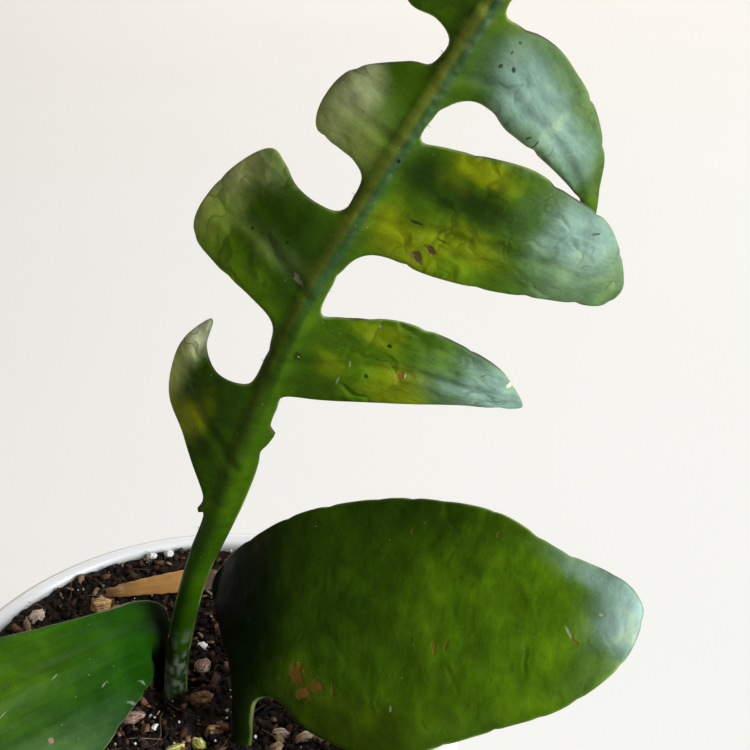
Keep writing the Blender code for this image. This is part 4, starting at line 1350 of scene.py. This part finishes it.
def areole_shape():
    """A low round pad, with its bristles spreading from the middle of it."""
    shape = bmesh.new()
    bmesh.ops.create_icosphere(shape, subdivisions=2, radius=PAD_RADIUS)
    for vertex in shape.verts:
        vertex.co.z *= PAD_HEIGHT
    for lean_x, lean_y, length in BRISTLES:
        foot = Vector((0.25 * lean_x, 0.25 * lean_y, 0.1))
        tip = shape.verts.new(foot + length * Vector((lean_x, lean_y, 1)).normalized())
        ring = [shape.verts.new(foot + Vector((x, y, 0))) for x, y in triangle(BRISTLE_HALF)]
        shape.faces.new(ring[::-1])
        for corner in range(3):
            shape.faces.new((ring[corner], ring[(corner + 1) % 3], tip))
    bmesh.ops.scale(shape, vec=(MM, MM, MM), verts=shape.verts)
    mesh = bpy.data.meshes.new("areole")
    shape.to_mesh(mesh)
    shape.free()
    return mesh


def areole_finish():
    """Grey-brown felt in two tones."""
    finish = Finish("areole_felt")
    spot = finish.place()
    felt = finish.grain(spot, 0.25, 3)
    colour = finish.mix(felt, FELT_BROWN, FELT_PALE)
    return finish.end(colour, 0.9, {"Normal": finish.bump(felt, 0.1)})


def sprouts(name, places, ways, shape, material, sizes, seed):
    """Sets a copy of the shape at each place, pointing the way that goes with it."""
    turns = [Vector(way).to_track_quat("Z", "Y").to_euler() for way in ways]
    bed = mesh_of(name + "_seats", places, [])
    layer = bed.attributes.new("turn", "FLOAT_VECTOR", "POINT")
    layer.data.foreach_set("vector", [angle for turn in turns for angle in turn])
    ground = show(name + "_seats", bed)
    kind = bpy.data.objects.new(name + "_kind", shape)
    bench, given, values = laid_out(name, "Seats", {"Smallest": sizes[0], "Largest": sizes[1]})
    vector = {"data_type": "FLOAT_VECTOR"}
    turn = bench.node("GeometryNodeInputNamedAttribute", vector, {"Name": "turn"})
    span = {2: given["Smallest"], 3: given["Largest"], "Seed": seed}
    size = bench.node("FunctionNodeRandomValue", None, span, 1)
    pad = bench.node("GeometryNodeObjectInfo", None, {"Object": kind}, 4)
    copies = bench.node(
        "GeometryNodeInstanceOnPoints", None,
        {"Points": given["Seats"], "Instance": pad, "Rotation": turn, "Scale": size},
    )  # fmt: skip
    made = grown(name, ground, bench, copies, material, values)
    bpy.data.objects.remove(kind)
    return made


nearest = [np.linalg.norm(lobed_edge - notch, axis=1).argmin() for notch in AREOLES]
inward = inward_of(lobed_edge)[nearest]
sunk_in = lobed_edge[nearest] + SEAT_DEPTH * inward
places = carry_lobed(sunk_in)
ways = carry_lobed(sunk_in - inward) - places
areoles = sprouts("areoles", places, ways, areole_shape(), areole_finish(), (0.5, 0.8), 61)
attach(areoles, "root")

# Right broad stem
# A young stem that has grown broad and flat, without lobes. It rises on a short stalk
# behind the tall one and leans back, with shallow notches along its margin.

BROAD_HALF = 1.2
BROAD_RIB = 1.1
RIGHT_ORIGIN = (9, -20, 105)
RIGHT_FACING = (-0.30, -0.79, 0.54)
RIGHT_OUTLINE = [
    (2, -20), (2.2, 0), (2, 6), (2.2, 9.5), (3.8, 11), (6, 11.5), (9, 10.5), (13, 8), (18, 6),
    (25, 5), (31.5, 5.5), (37.5, 7.5), (43.5, 10.5), (55, 17), (66.5, 23.8), (75.8, 34), (78.8, 43),
    (78, 47.5), (73, 51.5), (60.5, 54.6), (47, 59.5), (32, 59.5), (19, 57), (4, 51.3), (-9, 43),
    (-16.5, 36.5), (-19, 31), (-17, 26), (-11.5, 19.5), (-5, 12), (-3, 5), (-2.8, 0), (-2.4, -20),
    (-0.2, -21.5),
]  # fmt: skip
RIGHT_RIB = [(-0.3, -20), (-0.3, 4), (4, 16), (18, 28), (45, 38), (76, 46)]
LEAN_START = 12.0
LENGTH_BOW = 3.0
WIDTH_BOW = 2.0
SHOULDER_BOW = 7.0
LIT_GREEN = (0.075, 0.160, 0.002)
TIP_SHEEN = (0.30, 0.44, 0.38)
# Painted shade darkens the blade's left part and its stalk, lit green is painted light over its middle,
# and a blue-grey painted sheen lies on its tip.
RIGHT_STROKES = [
    (48, 34, 42, 30, 20, (0.042, 0.096, 0.001), 0.95), (34, 30, 9, 16, 0, (0.055, 0.115, 0.001), 0.35),
    (60, 42, 14, 14, 0, LIT_GREEN, 0.6), (50, 52, 18, 5, -15, LIT_GREEN, 0.3),
    (58, 28, 16, 9, 25, LIT_GREEN, 0.4), (30, 56, 20, 8, 0, DEEP_SHADE, 0.6), (20, 40, 14, 20, 0, DEEP_SHADE, 0.6),
    (-6, 24, 15, 32, 0, SHADE, 0.9), (-16, 30, 11, 26, 0, BLACK_SHADE, 0.95), (1, 6, 8, 9, 0, SHADE, 0.8),
    (26, 10, 14, 7, 0, (0.040, 0.066, 0.001), 0.8), (77, 44, 7, 9, 0, TIP_SHEEN, 0.9),
    (69, 51, 10, 3, -15, TIP_SHEEN, 0.5), (72, 31, 7, 5, 50, (0.075, 0.145, 0.020), 0.8),
    (36, 42, 12, 10, 0, (0.058, 0.125, 0.001), 0.35),
]  # fmt: skip
RIGHT_SCARS = [
    (11.2, 18.0, 3.6, 5.6, 25, SCAR_RUST, 0.8), (15.6, 16.6, 5.6, 2.8, 20, SCAR_RUST, 0.65),
    (13.2, 14.4, 4.2, 3.0, 0, (0.27, 0.105, 0.025), 0.75),
    (12.6, 16.4, 9.5, 7.5, 0, (0.05, 0.05, 0.004), 0.4),
    (39.2, 30.4, 0.9, 3.6, 10, SCAR_RUST, 0.6), (41.6, 31.2, 0.8, 2.6, -10, SCAR_RUST, 0.6),
    (65.5, 38.6, 3.4, 0.9, -55, SCAR_PALE, 0.6), (66.5, 37.4, 3.0, 0.8, -20, SCAR_RUST, 0.5),
    (71.0, 43.6, 0.8, 0.8, 0, SCAR_PALE, 1.0), (30.0, 52.0, 0.9, 1.3, 0, SCAR_RUST, 0.6),
    (19.4, 17.0, 0.8, 3.0, 10, SCAR_RUST, 0.5), (32.5, 16.0, 0.7, 2.0, 0, SCAR_PALE, 0.6),
    (48.0, 55.0, 0.8, 1.5, 0, SCAR_RUST, 0.5),
]  # fmt: skip
RIGHT_MARGIN = ((0.10, 0.13, 0.03), (0.26, 0.30, 0.10))


def carry_right(flat):
    """Carries flat points onto the blade's leaning plane. It bends back below LEAN_START to
    its upright stalk, and bows back towards its ends and margins."""
    u, v = flat[:, 0], flat[:, 1]
    front = unit(np.array(RIGHT_FACING))
    up = unit(np.array([0, 0, 1]) - front[2] * front)
    right = np.cross(up, front)
    below = np.maximum(0, LEAN_START - v)
    depth = -0.4 * below**2 / (below + 8) * (1 - ease((u - 8) / 16))
    depth = depth - LENGTH_BOW * ((u - 35) / 45) ** 2
    depth = depth - WIDTH_BOW * ((v - 25 - 0.28 * u) / 27) ** 2 * ease(u / 25)
    depth = depth - SHOULDER_BOW * np.clip((10 - u) / 22, 0, 1.2) ** 2 * ease((v - 6) / 12)
    return np.array(RIGHT_ORIGIN) + u[:, None] * right + v[:, None] * up + depth[:, None] * front


def right_relief(flat, edge):
    """Low puckers across the blade, and a margin that waves a little."""
    open_part = ease((flat[:, 1] - 4) / 8)
    rise = 0.55 * waver(flat, 15, 11, 21.5) + 0.14 * waver(flat, 4, 3, 23.0)
    rise += 0.5 * waver(flat, 8, 8, 25.0) * np.exp(-edge / 2.5)
    return rise * open_part * ease((edge + 0.6) / 2)


def right_paint(flat):
    """The strokes, lighter and darker in soft spots."""
    colour = airbrush(flat, GREEN, RIGHT_STROKES)
    spotted = 1 + 0.20 * waver(flat, 6, 7, 27.0, 3)
    return colour * spotted[:, None]


right_skin = skin_finish(
    "broad_stem_right_skin", RIGHT_MARGIN, (4.5, 8), 0.3, 0.4, 0.38, 0.05, RIGHT_SCARS
)
right_edge = closed_curve(RIGHT_OUTLINE, SKIN_SPACING)
right_edge = nibbled(right_edge, crenate(right_edge, 0.2, 0.74, 9, 0.26, 12))
right_stem = skin_body(
    "broad_stem_right_skin", right_edge, RIGHT_RIB, carry_right, BROAD_HALF, BROAD_RIB * 0.5,
    right_relief, right_paint, right_skin,
)  # fmt: skip
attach(right_stem, "root")
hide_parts("broad_stem_right")

# Left broad stem
# The second broad stem. Its stalk rises from the mix, then the blade arches over the rim
# of the pot, with fine lengthwise stripes and a thin pale margin.

LEFT_PATH = [
    (-13, 3, 80), (-11.5, 4, 102), (-10.8, 3.8, 111), (-11.8, 0, 118.5), (-15, -7, 122.5),
    (-20.5, -15.5, 125), (-34, -33, 128.5), (-52, -54, 129), (-66, -70, 124),
]  # fmt: skip
LEFT_FACING = [
    (0.8, -0.6, 0), (0.8, -0.6, 0), (0.8, -0.55, 0.2), (0.74, -0.45, 0.45), (0.66, -0.3, 0.65),
    (0.6, -0.27, 0.75), (0.6, -0.27, 0.75), (0.55, -0.3, 0.8), (0.5, -0.35, 0.8),
]  # fmt: skip
LEFT_OUTLINE = [
    (0, -2), (20, -2.4), (30, -2.5), (36, -4.6), (41, -8.6), (48, -11), (57, -14), (66, -18),
    (77, -21.5), (90, -22.5), (104, -19.5), (117, -12.5), (127, -4.5), (130.8, 0), (127.5, 5),
    (118, 11.5), (104, 16), (90, 15.5), (76, 11.8), (62, 9.6), (50, 8), (42, 7.8), (37, 8),
    (33.5, 5.6), (30.5, 2.9), (20, 2.4), (0, 2), (-1.5, 0),
]  # fmt: skip
LEFT_RIB = [(0, 0), (60, 0), (128, 0)]
# Near-black painted shade covers the stalk and the foot of the blade.
LEFT_STROKES = [
    (50, -2, 13, 12, 0, (0.005, 0.038, 0.0003), 0.8), (64, 3, 14, 8, 0, (0.014, 0.056, 0.0003), 0.6),
    (86, 2, 22, 9, 0, (0.030, 0.076, 0.0004), 0.85), (62, -14, 12, 5, 10, (0.009, 0.032, 0.007), 0.8),
    (82, -15, 18, 6, 0, (0.050, 0.098, 0.026), 0.7), (30, 0, 10, 10, 0, BLACK_SHADE, 0.95),
    (36, 5, 7, 8, 0, SHADE, 0.8), (16, 0, 16, 6, 0, BLACK_SHADE, 0.95),
    (110, 4, 22, 14, 0, (0.026, 0.080, 0.002), 0.7),
]  # fmt: skip
LEFT_SCARS = [
    (76.6, -11.6, 1.8, 1.7, 0, (0.24, 0.14, 0.10), 0.9), (60.0, -6.5, 0.4, 2.4, 65, SCAR_PALE, 0.4),
    (70.0, -1.0, 0.4, 2.2, 70, SCAR_PALE, 0.4), (83.0, -3.0, 0.4, 2.8, 72, SCAR_PALE, 0.45),
    (56.0, -12.4, 3.4, 1.0, 30, CORK, 0.5), (50.5, -9.6, 3.2, 1.0, 30, CORK, 0.5),
]  # fmt: skip
LEFT_GREEN = (0.009, 0.042, 0.0004)
LEFT_MARGIN = ((0.10, 0.12, 0.05), (0.26, 0.22, 0.13))
LEFT_CURL = (0, -8, 25)  # fold and curl in degrees, and the reach


def carry_evenly(flat, path, facing, curl):
    """Carries flat points onto a midrib with the same fold, curl and reach all along."""
    bends = np.tile(np.array(curl, float), (len(flat), 1))
    return bend_out(Midrib(path, facing), *flat.T, *bends.T)


def carry_left(flat):
    return carry_evenly(flat, LEFT_PATH, LEFT_FACING, LEFT_CURL)


def left_relief(flat, edge):
    """Long shallow ribs side by side, and a margin that waves a little."""
    open_part = ease((flat[:, 0] - 32) / 10)
    rise = 0.5 * waver(flat, 26, 9, 31.5) + 0.16 * waver(flat, 16, 2.2, 33.0)
    rise += 0.5 * waver(flat, 9, 9, 35.0) * np.exp(-edge / 2.5)
    return rise * open_part * ease((edge + 0.6) / 2)


def left_paint(flat):
    """The strokes, with faint fine stripes along the blade."""
    colour = airbrush(flat, LEFT_GREEN, LEFT_STROKES)
    striped = 1 + 0.14 * waver(flat, 30, 1.5, 37.0, 3)
    return colour * striped[:, None]


left_skin = skin_finish(
    "broad_stem_left_skin", LEFT_MARGIN, (16, 0.9), 0.15, 0.1, 0.36, 0.05, LEFT_SCARS
)
left_edge = closed_curve(LEFT_OUTLINE, SKIN_SPACING)
left_edge = nibbled(left_edge, crenate(left_edge, 0.18, 0.75, 11, 0.3, 14))
left_stem = skin_body(
    "broad_stem_left_skin", left_edge, LEFT_RIB, carry_left, BROAD_HALF, BROAD_RIB,
    left_relief, left_paint, left_skin, -1,
)  # fmt: skip
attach(left_stem, "root")
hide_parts("broad_stem_left")

# Dry strip
# A shed strip of old stem skin, dried to stiff tan paper. It has curled along its length
# and lies loose on the mix behind the stems.

STRIP_PATH = [
    (-30.5, 34, 105), (-22, 34.6, 106.4), (-12, 36.5, 107), (-3, 39, 106.4), (4, 42, 105.2),
]  # fmt: skip
STRIP_FACING = [(0, -0.5, 0.85)] * 5
STRIP_OUTLINE = [
    (0, -1.2), (6, -2.2), (14, -2.8), (24, -3.4), (31, -2.2), (33, 0), (31, 2.4), (24, 3.4),
    (14, 2.6), (6, 1.8), (0, 1.2), (-1, 0),
]  # fmt: skip
STRIP_RIB = [(0, 0), (16, 0), (32, 0)]
STRIP_HALF = 0.5
STRIP_SPACING = 0.6
STRIP_CURL = (-4, -50, 6)
STRIP_SHADED = (0.06, 0.028, 0.010)
STRIP_TAN = (0.48, 0.220, 0.048)
FIBRE_PALE = (0.60, 0.40, 0.20)
FIBRE_DARK = (0.08, 0.035, 0.012)


def carry_strip(flat):
    return carry_evenly(flat, STRIP_PATH, STRIP_FACING, STRIP_CURL)


def strip_relief(flat, edge):
    """Fine lengthwise crinkles."""
    return 0.2 * waver(flat, 12, 1.6, 41.0) + 0.12 * waver(flat, 3, 3, 43.0)


def strip_paint(flat):
    """Tan in the open, with painted shade darkening both ends."""
    lit = ease((flat[:, 0] + 2) / 14) * ease((26 - flat[:, 0]) / 4)
    return blend(STRIP_SHADED, STRIP_TAN, lit)


def husk_finish():
    """Dry papery fibre, paler on the ridges and dark in the splits."""
    finish = Finish("dry_husk")
    sheet = finish.read("sheet", 1)
    fibre = finish.grain(finish.stretch(sheet, (7, 0.35, 1)), 1, 3)
    cloud = finish.grain(sheet, 3.5, 3)
    tint = finish.read("tint", 1)
    colour = finish.vector("SCALE", tint, fibre * 0.5 + cloud * 0.5 + 0.5)
    colour = finish.mix((cloud * fibre).rise(0.32, 0.44) * 0.35, colour, FIBRE_PALE)
    colour = finish.mix(fibre.rise(0.34, 0.24) * 0.45, colour, FIBRE_DARK)
    return finish.end(colour, 0.62, {"Normal": finish.bump(fibre + cloud * 0.4, 0.35)})


strip_edge = closed_curve(STRIP_OUTLINE, STRIP_SPACING)
strip_edge = nibbled(strip_edge, crenate(strip_edge, 0.05, 0.95, 3, 0.35, 17))
strip = skin_body(
    "shed_strip", strip_edge, STRIP_RIB, carry_strip, STRIP_HALF, 0.0,
    strip_relief, strip_paint, husk_finish(), -1, STRIP_SPACING,
)  # fmt: skip
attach(strip, "root")
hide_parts("dry_strip")
